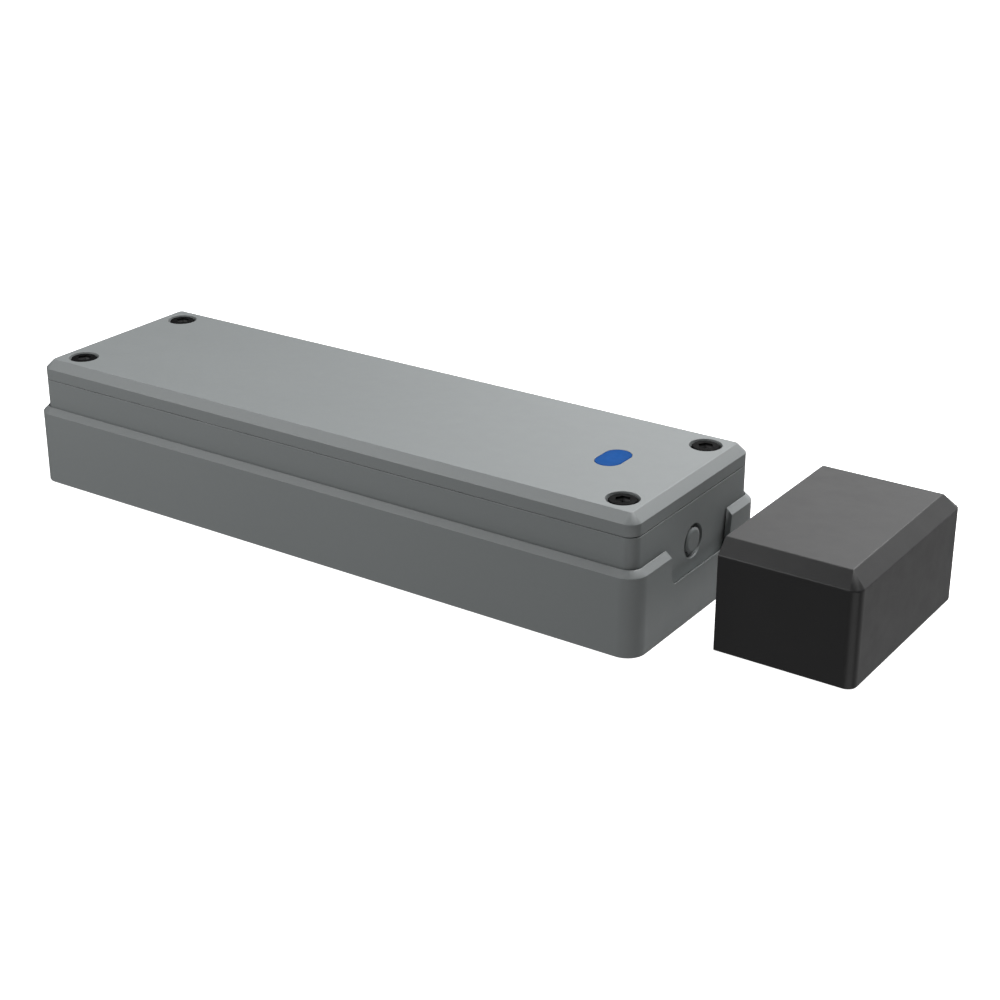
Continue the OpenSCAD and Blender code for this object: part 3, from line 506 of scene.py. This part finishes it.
def inside_block(grow, low, high):
    """The inside of the case as a solid, grown by grow. It steps in round the screw corners."""
    reach = screw_corner - grow
    ends = case_length / 2 - case_wall + grow
    sides = case_width / 2 - case_wall + grow
    step_x = screw_x - reach
    step_y = screw_y - reach
    bm = bmesh.new()
    bmesh.ops.create_grid(bm, x_segments=3, y_segments=3, size=1)
    for v in bm.verts:
        v.co.x = copysign(ends if abs(v.co.x) > 0.5 else step_x, v.co.x)
        v.co.y = copysign(sides if abs(v.co.y) > 0.5 else step_y, v.co.y)
        v.co.z = low
    middles = [(f, f.calc_center_median()) for f in bm.faces]
    corners = [f for f, middle in middles if abs(middle.x) > step_x and abs(middle.y) > step_y]
    bmesh.ops.delete(bm, geom=corners, context="FACES")
    bmesh.ops.dissolve_faces(bm, faces=bm.faces[:])
    steps = [v for v in bm.verts
             if abs(abs(v.co.x) - step_x) < same_place and abs(abs(v.co.y) - step_y) < same_place]
    bevel(bm, steps, reach, steps=12, affect="VERTICES")
    bmesh.ops.translate(bm, vec=(0, 0, high - low), verts=pulled_out(bm, bm.faces[:]))
    return bm


def taken(made):
    """The shape of a helper object, which is removed."""
    bm = bmesh.new()
    bm.from_mesh(made.data)
    bpy.data.objects.remove(made)
    return bm


bm = rounded_block(case_length, case_width, case_radius, house_low.z, house_high.z)
housing = piece("housing_shell", bm)
cut(housing, inside_block(0, house_low.z + case_floor, house_high.z + far_out))
groove = piece("groove", inside_block(case_wall - groove_lip, house_high.z - groove_depth,
                                      house_high.z + far_out))
cut(groove, inside_block(groove_lip, house_high.z - 2 * groove_depth, house_high.z + 2 * far_out))
cut(housing, taken(groove))
for x, y in four_corners:
    insert_place = (x * screw_x, y * screw_y, house_high.z)
    cut(housing, round_bar(insert_bore / 2, 2 * insert_depth, insert_place))
screws_low, screws_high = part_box("board_screws")
post_foot = house_low.z + case_floor / 2
post_length = post_height + case_floor / 2
for x in (screws_low.x + post_inset, screws_high.x - post_inset):
    for y in (screws_low.y + post_inset, screws_high.y - post_inset):
        join(housing, round_bar(post_width / 2, post_length, (x, y, post_foot + post_length / 2), steps=32))
        pilot_place = (x, y, post_foot + case_floor / 2 + post_height)
        cut(housing, round_bar(pilot_bore / 2, 2 * post_height, pilot_place, steps=24))
for x, y in four_corners:
    groove_axis = (x * snap_place, y * (case_width / 2 + snap_radius - snap_reach), snap_height)
    cut(housing, round_bar(snap_radius + snap_play, snap_length + 2 * snap_play, groove_axis, "X", steps=24))
seam = piece("seam", rounded_block(case_length + far_out, case_width + far_out, case_radius,
                                   house_high.z - seam_height, house_high.z + far_out))
cut(seam, rounded_block(case_length - 2 * seam_depth, case_width - 2 * seam_depth,
                        case_radius - seam_depth, 0, house_high.z + 2 * far_out))
cut(housing, taken(seam))
button_axis = Vector((house_high.x, 0, button_height))
sleeve_reach = sleeve_length + case_wall / 2
sleeve_middle = button_axis - Vector((case_wall / 2 + sleeve_reach / 2, 0, 0))
join(housing, round_bar(button_bore / 2 + sleeve_wall, sleeve_reach, sleeve_middle, "X"))
cut(housing, round_bar(button_bore / 2, 4 * (sleeve_length + case_wall), button_axis, "X"))
cut(housing, round_bar(ring_width / 2, 2 * ring_depth, button_axis, "X"))
soften(housing, case_edge)
case_plastic = moulded("case_plastic", grey, roughness=0.46)
dress(housing, case_plastic, "sensor", "case_plastic", "housing")


# The lid. The upper shell, moulded like the housing, with a wide chamfer round its top face.
# Four black screws in sunk seats hold it down on the seal.
lid_chamfer = 1.35 * mm
lid_plate = 1.8 * mm
seat_width = 4.9 * mm
seat_depth = 1.95 * mm
shank_bore = 2.9 * mm
window_inset = 13.5 * mm
window_width = 4.2 * mm
window_length = 6.7 * mm
slot_roundness = 0.999
lid_low, lid_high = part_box("lid")
bm = rounded_block(case_length, case_width, case_radius, lid_low.z, lid_high.z)
chamfer_top(bm, lid_chamfer)
lid = piece("lid_shell", bm)
cut(lid, inside_block(0, lid_low.z - far_out, lid_high.z - lid_plate))
for x, y in four_corners:
    seat = Vector((x * screw_x, y * screw_y, lid_high.z))
    cut(lid, round_bar(shank_bore / 2, 4 * lid_plate + 2 * far_out, seat, steps=48))
    cut(lid, round_bar(seat_width / 2, 2 * seat_depth, seat))
slot = rounded_block(window_width, window_length, window_width / 2 * slot_roundness,
                     lid_high.z - 2 * lid_plate, lid_high.z + far_out, steps=24)
bmesh.ops.translate(slot, vec=(case_length / 2 - window_inset, 0, 0), verts=slot.verts)
cut(lid, slot)
soften(lid, case_edge)
dress(lid, case_plastic, "sensor", "case_plastic", "lid")


# The lid's screws. Four black-oxide machine screws with a hexagon socket, turned and dipped.
# Their heads sit just below the lid's top face. All that lies lower than that face of the head,
# such as the inside of the socket, is painted a lighter grey as painted light against its shade,
# so that the heads look nearly even.
screw_edge = 0.06 * mm
head_rise = 0.25 * mm
head_layer = 0.05 * mm
painted_light_fade = 0.3 * mm
oxide_black = (0.003, 0.003, 0.0032)
socket_painted_light_grey = (0.12, 0.12, 0.122)


def rounded_copy(name, node, width):
    """A CAD node's own shape with its edges rounded."""
    bm = bmesh.new()
    bm.from_mesh(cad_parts[node].data)
    bmesh.ops.remove_doubles(bm, verts=bm.verts, dist=same_place)
    made = piece(name, bm)
    soften(made, width)
    return made


head_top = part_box("lid_screws")[1].z
screws = rounded_copy("lid_screw_set", "lid_screws", screw_edge)
for vertex in screws.data.vertices:
    if vertex.co.z > head_top - head_layer:
        vertex.co.z += head_rise
black_oxide = Finish("black_oxide")
oxide_height = black_oxide.node("SeparateXYZ", Vector=black_oxide.place).outputs["Z"]
# Painted light: below its top face the head is painted lighter, to lift the shade in the socket.
painted_light_share = black_oxide.level(oxide_height, 1, 0, start=head_top - painted_light_fade, end=head_top)
oxide = black_oxide.tinted(oxide_black, 0.25, size=1.2 * mm)
black_oxide.wear(Base_Color=black_oxide.blend(oxide, socket_painted_light_grey, painted_light_share))
black_oxide.wear(Roughness=black_oxide.level(black_oxide.noise(0.8 * mm, detail=3), 0.5, 0.68))
black_oxide.wear(Normal=black_oxide.bumps(black_oxide.noise(0.09 * mm), 0.003 * mm))
black_oxide.wear(Specular_IOR_Level=0.045)
dress(screws, black_oxide.material, "sensor", "black_steel", "lid_screws")


# The status window. A light pipe moulded in frosted blue plastic. Its top is flush with the lid,
# a flange holds it from inside, and its stalk ends over the lamp on the board.
window_edge = 0.07 * mm
window_blue = (0.003, 0.052, 0.206)
window_core = (0.0035, 0.059, 0.232)
core_oval = 0.62
core_radius = 0.8 * mm
core_fade = 2.1 * mm
window = rounded_copy("status_window", "light_pipe", window_edge)
lens = Finish("frosted_blue")
to_middle = lens.node("Mapping", Vector=lens.place, Scale=(1, core_oval, 0),
                      Location=(window_inset - case_length / 2, 0, 0))
off_middle = lens.vector("LENGTH", to_middle.outputs["Vector"])
core = lens.level(off_middle, 1, 0, start=core_radius, end=core_fade)
cloud = lens.level(lens.noise(0.7 * mm, detail=3), 0.96, 1.04)
lens.wear(Base_Color=lens.shaded(lens.blend(window_blue, window_core, core), cloud))
lens.wear(Roughness=lens.level(lens.noise(1.5 * mm, detail=3), 0.5, 0.6))
lens.wear(Normal=lens.bumps(lens.noise(0.1 * mm), 0.002 * mm))
lens.wear(Specular_IOR_Level=0.05)
dress(window, lens.material, "sensor", "blue_lens", "light_pipe")


# The button. A small round plunger, moulded like the case, in the sunk ring of the end wall.
# A flange inside keeps it from falling out, and a groove round it carries its rubber ring.
button_edge = 0.06 * mm
button_round = 0.3 * mm
hair = 0.01 * mm
button_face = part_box("push_button")[1].x
button = rounded_copy("button_plunger", "push_button", button_edge)
bm = bmesh.new()
bm.from_mesh(button.data)
face_rim = [e for e in bm.edges if all(v.co.x > button_face - hair for v in e.verts)]
bevel(bm, face_rim, button_round, steps=4)
bm.to_mesh(button.data)
bm.free()
button_plastic = moulded("button_plastic", grey, roughness=0.44, grain=0.12 * mm, depth=0.003 * mm)
dress(button, button_plastic, "button", "button_plastic", "push_button")


# The magnet block's case. A black shell, moulded in one piece, open below. Its top edges are
# cut at 45 degrees on three sides, and the side towards the case is square. Its two outer corners
# are round below and run together to a point at the top face.
magnet_black = (0.012, 0.012, 0.0125)
magnet_chamfer = 2.1 * mm
magnet_radius = 1.5 * mm
magnet_wall = 2.0 * mm
magnet_edge = 0.12 * mm
block_low, block_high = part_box("magnet_case")
block_length = block_high.x - block_low.x
block_width = block_high.y - block_low.y
middle_x = (block_high.x + block_low.x) / 2
middle_y = (block_high.y + block_low.y) / 2
shoulder = block_high.z - magnet_chamfer
bm = block((block_length, block_width, shoulder), (middle_x, middle_y, shoulder / 2))
outer = [e for e in bm.edges
         if all(v.co.x > block_high.x - mm for v in e.verts)
         and abs(e.verts[0].co.z - e.verts[1].co.z) > mm]
bevel(bm, outer, magnet_radius, steps=10)
top = [f for f in bm.faces if all(v.co.z > shoulder - hair for v in f.verts)]
lifted = pulled_out(bm, top)
bmesh.ops.delete(bm, geom=top, context="FACES_ONLY")
for v in lifted:
    v.co.x = min(v.co.x, block_high.x - magnet_chamfer)
    v.co.y = min(max(v.co.y, block_low.y + magnet_chamfer), block_high.y - magnet_chamfer)
    v.co.z = block_high.z
bmesh.ops.remove_doubles(bm, verts=bm.verts, dist=same_place)
magnet_case = piece("magnet_shell", bm)
cut(magnet_case, block((block_length - 2 * magnet_wall, block_width - 2 * magnet_wall,
                        2 * (block_high.z - magnet_wall)), (middle_x, middle_y, 0)))
soften(magnet_case, magnet_edge, steps=3, flat_above=5 * mm * mm)
black_plastic = moulded("black_plastic", magnet_black, roughness=0.4)
dress(magnet_case, black_plastic, "magnet_block", "magnet_plastic", "magnet_case")


# The magnet block's underside. A dull black plate moulded to close the block, flush with its rim,
# and four zinc-plated countersunk screws.
plate_black = (0.02, 0.02, 0.021)
zinc_grey = (0.62, 0.64, 0.67)
plate_edge = 0.12 * mm
plate_screw_edge = 0.05 * mm
base_plate = rounded_copy("magnet_plate", "magnet_base_plate", plate_edge)
plate_plastic = moulded("plate_plastic", plate_black, roughness=0.55, grain=0.25 * mm, depth=0.008 * mm)
dress(base_plate, plate_plastic, "magnet_block", "plate_plastic", "magnet_base_plate")


def metal(name, colour, roughness, stretch=(1, 1, 1), grain=0.15 * mm, depth=0.002 * mm, tint=0.06):
    """Plated or bare metal: fine tool or rolling marks, patches of dullness, and edges painted brighter as
    wear and as a painted highlight.
    """
    wear_and_highlight_colour = tuple(min(1.0, c * 1.35) for c in colour)
    finish = Finish(name)
    marks = finish.noise(grain, 3, stretch)
    base = finish.tinted(colour, tint, 3 * mm, stretch)
    # Painted highlight and wear: the edges are painted brighter.
    edge_wear_and_highlight = finish.maths("MULTIPLY", finish.edges(reach=0.1 * mm), 0.4)
    finish.wear(Base_Color=finish.blend(base, wear_and_highlight_colour, edge_wear_and_highlight))
    dull = finish.level(finish.noise(1.5 * mm, detail=4), -0.06, 0.06)
    marked = finish.level(marks, roughness - 0.05, roughness + 0.05)
    finish.wear(Roughness=finish.maths("ADD", marked, dull))
    finish.wear(Normal=finish.bumps(marks, depth), Metallic=1.0)
    return finish


plate_screws = rounded_copy("magnet_plate_screw_set", "magnet_plate_screws", plate_screw_edge)
zinc = metal("zinc_plate", zinc_grey, roughness=0.32)
dress(plate_screws, zinc.material, "magnet_block", "zinc_steel", "magnet_plate_screws")


# The seals. The lid's is a flat ring of black rubber, moulded to the shape of its groove in the
# housing, and the button's is a small round ring. Both have a faint bloom, as rubber gets.
seal_black = (0.018, 0.018, 0.019)
ring_black = (0.02, 0.02, 0.021)
bloom_grey = (0.3, 0.3, 0.31)


def paint(node, finish):
    """Gives a CAD node its finish in its own material slots."""
    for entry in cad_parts[node].material_slots:
        entry.material = finish.material


def rubber(name, colour):
    """Moulded rubber: patches of pale bloom on black, and a fine matt skin."""
    finish = Finish(name)
    bloom = finish.level(finish.noise(3 * mm, detail=4), 0.0, 0.08, start=0.45, end=0.7)
    finish.wear(Base_Color=finish.blend(finish.tinted(colour, 0.12, size=2 * mm), bloom_grey, bloom))
    finish.wear(Roughness=finish.level(finish.noise(0.6 * mm, detail=3), 0.72, 0.88))
    finish.wear(Normal=finish.bumps(finish.noise(0.07 * mm, detail=3), 0.006 * mm))
    finish.wear(Specular_IOR_Level=0.35)
    return finish


paint("lid_seal", rubber("seal_rubber", seal_black))
paint("button_seal", rubber("ring_rubber", ring_black))


# The threaded inserts. Turned brass, pressed hot into the corners of the housing.
# Their bright turning rings run round and show as fine bands up the wall.
brass_yellow = (0.78, 0.57, 0.25)
brass = metal("turned_brass", brass_yellow, roughness=0.3, stretch=(0.15, 0.15, 3),
              grain=0.25 * mm, depth=0.004 * mm)
paint("screw_inserts", brass)


# The circuit board. Glass-fibre laminate under a green solder mask, routed to shape.
# The buried tracks show as faint raised lines, and the routed edges are bare, straw-coloured fibre.
mask_green = (0.006, 0.075, 0.032)
track_green = (0.016, 0.125, 0.05)
fibre_straw = (0.42, 0.36, 0.16)
board = Finish("board_laminate")


def tracks(turn):
    """Thin raised lines with steps in them, like the tracks of a board, sized in millimetres."""
    turned = board.node("Mapping", Vector=board.place, Rotation=(0, 0, turn))
    rows = board.node("TexBrick", Vector=turned.outputs["Vector"], Scale=1 / mm, Brick_Width=7.3,
                      Row_Height=1.27, Mortar_Size=0.09, Mortar_Smooth=0.3)
    rows.offset = 0.37
    return rows.outputs["Fac"]


lengthwise = board.level(board.noise(9 * mm, detail=0), 0, 1, start=0.49, end=0.5)
crosswise = board.maths("SUBTRACT", 1.0, lengthwise)
lines = board.maths("ADD", board.maths("MULTIPLY", tracks(0), lengthwise),
                    board.maths("MULTIPLY", tracks(pi / 2), crosswise))
weave = board.node("TexBrick", Vector=board.place, Scale=1 / mm, Brick_Width=0.4, Row_Height=0.4,
                   Mortar_Size=0.06, Mortar_Smooth=1.0).outputs["Fac"]
facing = board.node("SeparateXYZ", Vector=board.node("NewGeometry").outputs["Normal"])
routed = board.maths("LESS_THAN", board.maths("ABSOLUTE", facing.outputs["Z"]), 0.5)
masked = board.blend(board.tinted(mask_green, 0.06, size=6 * mm), track_green, lines)
fibre = board.tinted(fibre_straw, 0.2, size=0.4 * mm, stretch=(1, 1, 6))
board.wear(Base_Color=board.blend(masked, fibre, routed))
board.wear(Roughness=board.level(routed, 0.3, 0.8, start=0, end=1))
relief = board.maths("ADD", lines, board.maths("MULTIPLY", weave, 0.12))
board.wear(Normal=board.bumps(relief, 0.03 * mm))
paint("circuit_board", board)


# The small fasteners and sheet metal: zinc-plated board screws, nickel-plated contacts stamped from
# rolled steel, the radio's tinned can, and the antenna's gold-plated sheet.
nickel_grey = (0.6, 0.57, 0.52)
tin_grey = (0.66, 0.66, 0.64)
gold_yellow = (0.85, 0.62, 0.26)
paint("board_screws", zinc)
nickel = metal("rolled_nickel", nickel_grey, roughness=0.24, stretch=(1, 1, 0.12), grain=0.2 * mm)
paint("negative_contact", nickel)
paint("positive_contact", nickel)
tinned = metal("tinned_steel", tin_grey, roughness=0.36, stretch=(0.12, 1, 1),
               grain=0.25 * mm, tint=0.035)
paint("radio_shield", tinned)
gilt = metal("gilt_sheet", gold_yellow, roughness=0.24, stretch=(0.2, 1, 1),
             grain=0.3 * mm, depth=0.0008 * mm, tint=0.03)
paint("antenna", gilt)


# The lamp on the board. A white ceramic body with a lens of amber phosphor, cast in a round
# recess. It is soldered to the board below the window.
ceramic_white = (0.72, 0.71, 0.66)
phosphor_amber = (0.75, 0.5, 0.06)
lens_radius = 1.2 * mm
lamp_low, lamp_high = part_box("status_led")
lamp_middle = (lamp_low + lamp_high) / 2
lamp_body = Finish("lamp_body")


def apart(finish, centre):
    """How far a point lies from the centre, along each axis."""
    return finish.vector("SUBTRACT", finish.place, centre)


in_plan = lamp_body.vector("MULTIPLY", apart(lamp_body, lamp_middle), (1, 1, 0))
phosphor = lamp_body.maths("LESS_THAN", lamp_body.vector("LENGTH", in_plan), lens_radius * 0.99)
ceramic = lamp_body.tinted(ceramic_white, 0.03, size=0.5 * mm)
amber = lamp_body.tinted(phosphor_amber, 0.08, size=0.25 * mm)
lamp_body.wear(Base_Color=lamp_body.blend(ceramic, amber, phosphor))
lamp_body.wear(Roughness=lamp_body.level(phosphor, 0.5, 0.25, start=0, end=1))
lamp_body.wear(Normal=lamp_body.bumps(lamp_body.noise(0.06 * mm), 0.003 * mm))
paint("status_led", lamp_body)


# The reed switch. Two flat reeds sealed in a thin glass tube, with tinned wires that turn up to
# the board. The glass is pale green, and darker towards its sealed ends.
glass_pale = (0.2, 0.27, 0.22)
glass_sealed = (0.06, 0.16, 0.09)
wire_grey = (0.6, 0.6, 0.58)
glass_half = 5.6 * mm
seal_start = 3.2 * mm
seal_end = 5.4 * mm
reed_low, reed_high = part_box("reed_switch")
reed_middle = (reed_low + reed_high) / 2
reed = Finish("reed_glass")
along = reed.node("SeparateXYZ", Vector=apart(reed, reed_middle))
from_middle = reed.maths("ABSOLUTE", along.outputs["Y"])
wire = reed.maths("GREATER_THAN", from_middle, glass_half)
sealed = reed.level(from_middle, 0, 1, start=seal_start, end=seal_end)
streak = reed.level(reed.noise(0.6 * mm, detail=2, stretch=(1, 0.1, 1)), 0.8, 1.2)
glass = reed.shaded(reed.blend(glass_pale, glass_sealed, sealed), streak)
reed.wear(Base_Color=reed.blend(glass, wire_grey, wire))
reed.wear(Metallic=wire)
reed.wear(Roughness=reed.level(wire, 0.06, 0.3, start=0, end=1))
reed.wear(Normal=reed.bumps(reed.noise(0.3 * mm, detail=1, stretch=(1, 0.2, 1)), 0.002 * mm))
paint("reed_switch", reed)


# The radio module's carrier board. Thin blue laminate with gold-plated half holes along its sides,
# where it is soldered to the main board.
laminate_blue = (0.01, 0.03, 0.14)
plated_gold = (0.83, 0.6, 0.24)
hole_pitch = 1.8 * mm
hole_depth = 0.75 * mm
radio_low, radio_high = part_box("radio_module")
radio_middle = (radio_low + radio_high) / 2
plated_from = (radio_high.y - radio_low.y) / 2 - hole_depth
module = Finish("module_laminate")
out = module.node("SeparateXYZ", Vector=apart(module, radio_middle))
at_edge = module.maths("GREATER_THAN", module.maths("ABSOLUTE", out.outputs["Y"]), plated_from)
phase = module.maths("COSINE", module.maths("MULTIPLY", out.outputs["X"], 2 * pi / hole_pitch))
plated = module.maths("MULTIPLY", module.maths("GREATER_THAN", phase, 0.1), at_edge)
module.wear(Base_Color=module.blend(module.tinted(laminate_blue, 0.08, size=3 * mm), plated_gold, plated))
module.wear(Metallic=plated)
module.wear(Roughness=module.level(module.noise(0.8 * mm), 0.25, 0.4))
module.wear(Normal=module.bumps(module.noise(0.1 * mm), 0.004 * mm))
paint("radio_module", module)


# The controller chip. Black epoxy moulded round the chip, with tin-plated legs on all four sides
# that are soldered to the board.
resin_black = (0.018, 0.018, 0.019)
leg_grey = (0.68, 0.68, 0.66)
chip_half = 3.0 * mm
chip_low, chip_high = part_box("microcontroller")
chip_middle = (chip_low + chip_high) / 2
chip = Finish("chip_resin")
beside = chip.node("SeparateXYZ", Vector=apart(chip, chip_middle))
outwards = chip.maths("MAXIMUM", chip.maths("ABSOLUTE", beside.outputs["X"]),
                      chip.maths("ABSOLUTE", beside.outputs["Y"]))
leg = chip.maths("GREATER_THAN", outwards, chip_half + hair)
chip.wear(Base_Color=chip.blend(chip.tinted(resin_black, 0.1, size=1 * mm), leg_grey, leg))
chip.wear(Metallic=leg)
chip.wear(Roughness=chip.level(leg, 0.6, 0.3, start=0, end=1))
chip.wear(Normal=chip.bumps(chip.noise(0.05 * mm, detail=3), 0.006 * mm))
paint("microcontroller", chip)


# The storage capacitor. A drawn aluminium can with a dark stripe over its negative side, standing
# on a black plastic foot.
aluminium_grey = (0.78, 0.78, 0.79)
stripe_black = (0.02, 0.02, 0.022)
foot_height = 0.75 * mm
stripe_from = -1.9 * mm
can_low, can_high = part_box("storage_capacitor")
can_middle = (can_low + can_high) / 2
can = Finish("capacitor_can")
spot = can.node("SeparateXYZ", Vector=apart(can, (can_middle.x, can_middle.y, 0)))
foot = can.maths("LESS_THAN", spot.outputs["Z"], can_low.z + foot_height)
stripe = can.maths("MAXIMUM", can.maths("LESS_THAN", spot.outputs["X"], stripe_from), foot)
drawn = can.tinted(aluminium_grey, 0.05, size=1 * mm, stretch=(1, 1, 0.1))
can.wear(Base_Color=can.blend(drawn, stripe_black, stripe))
can.wear(Metallic=can.maths("SUBTRACT", 1.0, stripe))
can.wear(Roughness=can.level(stripe, 0.3, 0.55, start=0, end=1))
can.wear(Normal=can.bumps(can.noise(0.12 * mm, detail=2, stretch=(1, 1, 0.1)), 0.002 * mm))
paint("storage_capacitor", can)


# The button's switch. A black moulded body on the board with an ivory stem that touches the
# back of the button.
switch_black = (0.02, 0.02, 0.021)
stem_ivory = (0.68, 0.64, 0.5)


def plain_moulding(name, colour, roughness, grain, depth):
    """Plastic of a small bought part: an even colour, patches of sheen and a fine grain."""
    finish = Finish(name)
    finish.wear(Base_Color=finish.tinted(colour, 0.06, size=1.5 * mm))
    finish.wear(Roughness=finish.level(finish.noise(0.9 * mm, detail=3), roughness - 0.06, roughness + 0.06))
    finish.wear(Normal=finish.bumps(finish.noise(grain), depth))
    return finish


switch = plain_moulding("switch_plastic", switch_black, roughness=0.45, grain=0.1 * mm, depth=0.003 * mm)
paint("button_switch", switch)
stem = plain_moulding("stem_plastic", stem_ivory, roughness=0.4, grain=0.12 * mm, depth=0.002 * mm)
paint("switch_stem", stem)


# The battery holder. An open cradle moulded in black glass-filled nylon, with a swirled, dull skin
# from the fibres near its surface.
nylon_black = (0.022, 0.022, 0.023)
swirl_grey = (0.4, 0.4, 0.4)
nylon = plain_moulding("glass_filled_nylon", nylon_black, roughness=0.58, grain=0.3 * mm, depth=0.008 * mm)
swirl = nylon.level(nylon.noise(2.2 * mm, detail=5, stretch=(0.3, 1, 1)), 0.0, 0.05, start=0.45, end=0.7)
nylon.wear(Base_Color=nylon.blend(nylon.tinted(nylon_black, 0.1, size=2 * mm), swirl_grey, swirl))
paint("battery_holder", nylon)


# The cell. A lithium cell in a green shrink sleeve with a white band at its plus end. The sleeve
# ends short of the bright steel base and of the terminal.
sleeve_green = (0.02, 0.2, 0.085)
band_white = (0.7, 0.7, 0.68)
steel_grey = (0.6, 0.58, 0.54)
bare_base = 0.55 * mm
bare_terminal = 1.75 * mm
band_length = 4.5 * mm
cell_low, cell_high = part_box("battery_cell")
sleeve_end = cell_high.x - bare_terminal
cell = Finish("cell_sleeve")
x_place = cell.node("SeparateXYZ", Vector=cell.place).outputs["X"]
bare = cell.maths("MAXIMUM", cell.maths("LESS_THAN", x_place, cell_low.x + bare_base),
                  cell.maths("GREATER_THAN", x_place, sleeve_end))
band = cell.maths("GREATER_THAN", x_place, sleeve_end - band_length)
film = cell.blend(cell.tinted(sleeve_green, 0.05, size=6 * mm), band_white, band)
cell.wear(Base_Color=cell.blend(film, steel_grey, bare))
cell.wear(Metallic=bare)
cell.wear(Roughness=cell.level(cell.noise(3 * mm, detail=4), 0.22, 0.34))
cell.wear(Normal=cell.bumps(cell.noise(1.6 * mm, detail=3, stretch=(0.25, 1, 1)), 0.02 * mm))
paint("battery_cell", cell)


# The bar magnet and its pad. Sintered ferrite with ground faces, grey and slightly granular, and a
# strip of dark open-cell foam that keeps it down.
ferrite_grey = (0.05, 0.05, 0.053)
foam_grey = (0.035, 0.037, 0.04)
pore_size = 0.45 * mm
ferrite = Finish("ground_ferrite")
scratches = ferrite.noise(0.3 * mm, detail=3, stretch=(0.05, 1, 1))
ferrite.wear(Base_Color=ferrite.tinted(ferrite_grey, 0.15, size=0.8 * mm))
ferrite.wear(Roughness=ferrite.level(scratches, 0.4, 0.6))
granular = ferrite.maths("ADD", scratches, ferrite.noise(0.08 * mm))
ferrite.wear(Normal=ferrite.bumps(granular, 0.006 * mm))
paint("bar_magnet", ferrite)
foam = Finish("pad_foam")
cells = foam.node("TexVoronoi", Vector=foam.place, Scale=1 / pore_size).outputs["Distance"]
pores_and_pore_shade = foam.level(cells, 0.35, 1.0, start=0.1, end=0.5)
# Painted shade: the pores' middles are painted darker, as the shade inside them; the same pattern also dents
# them.
foam.wear(Base_Color=foam.shaded(foam.tinted(foam_grey, 0.1, size=2 * mm), pores_and_pore_shade))
foam.wear(Roughness=0.95, Normal=foam.bumps(pores_and_pore_shade, 0.12 * mm, strength=1.0), Specular_IOR_Level=0.1)
paint("magnet_pad", foam)
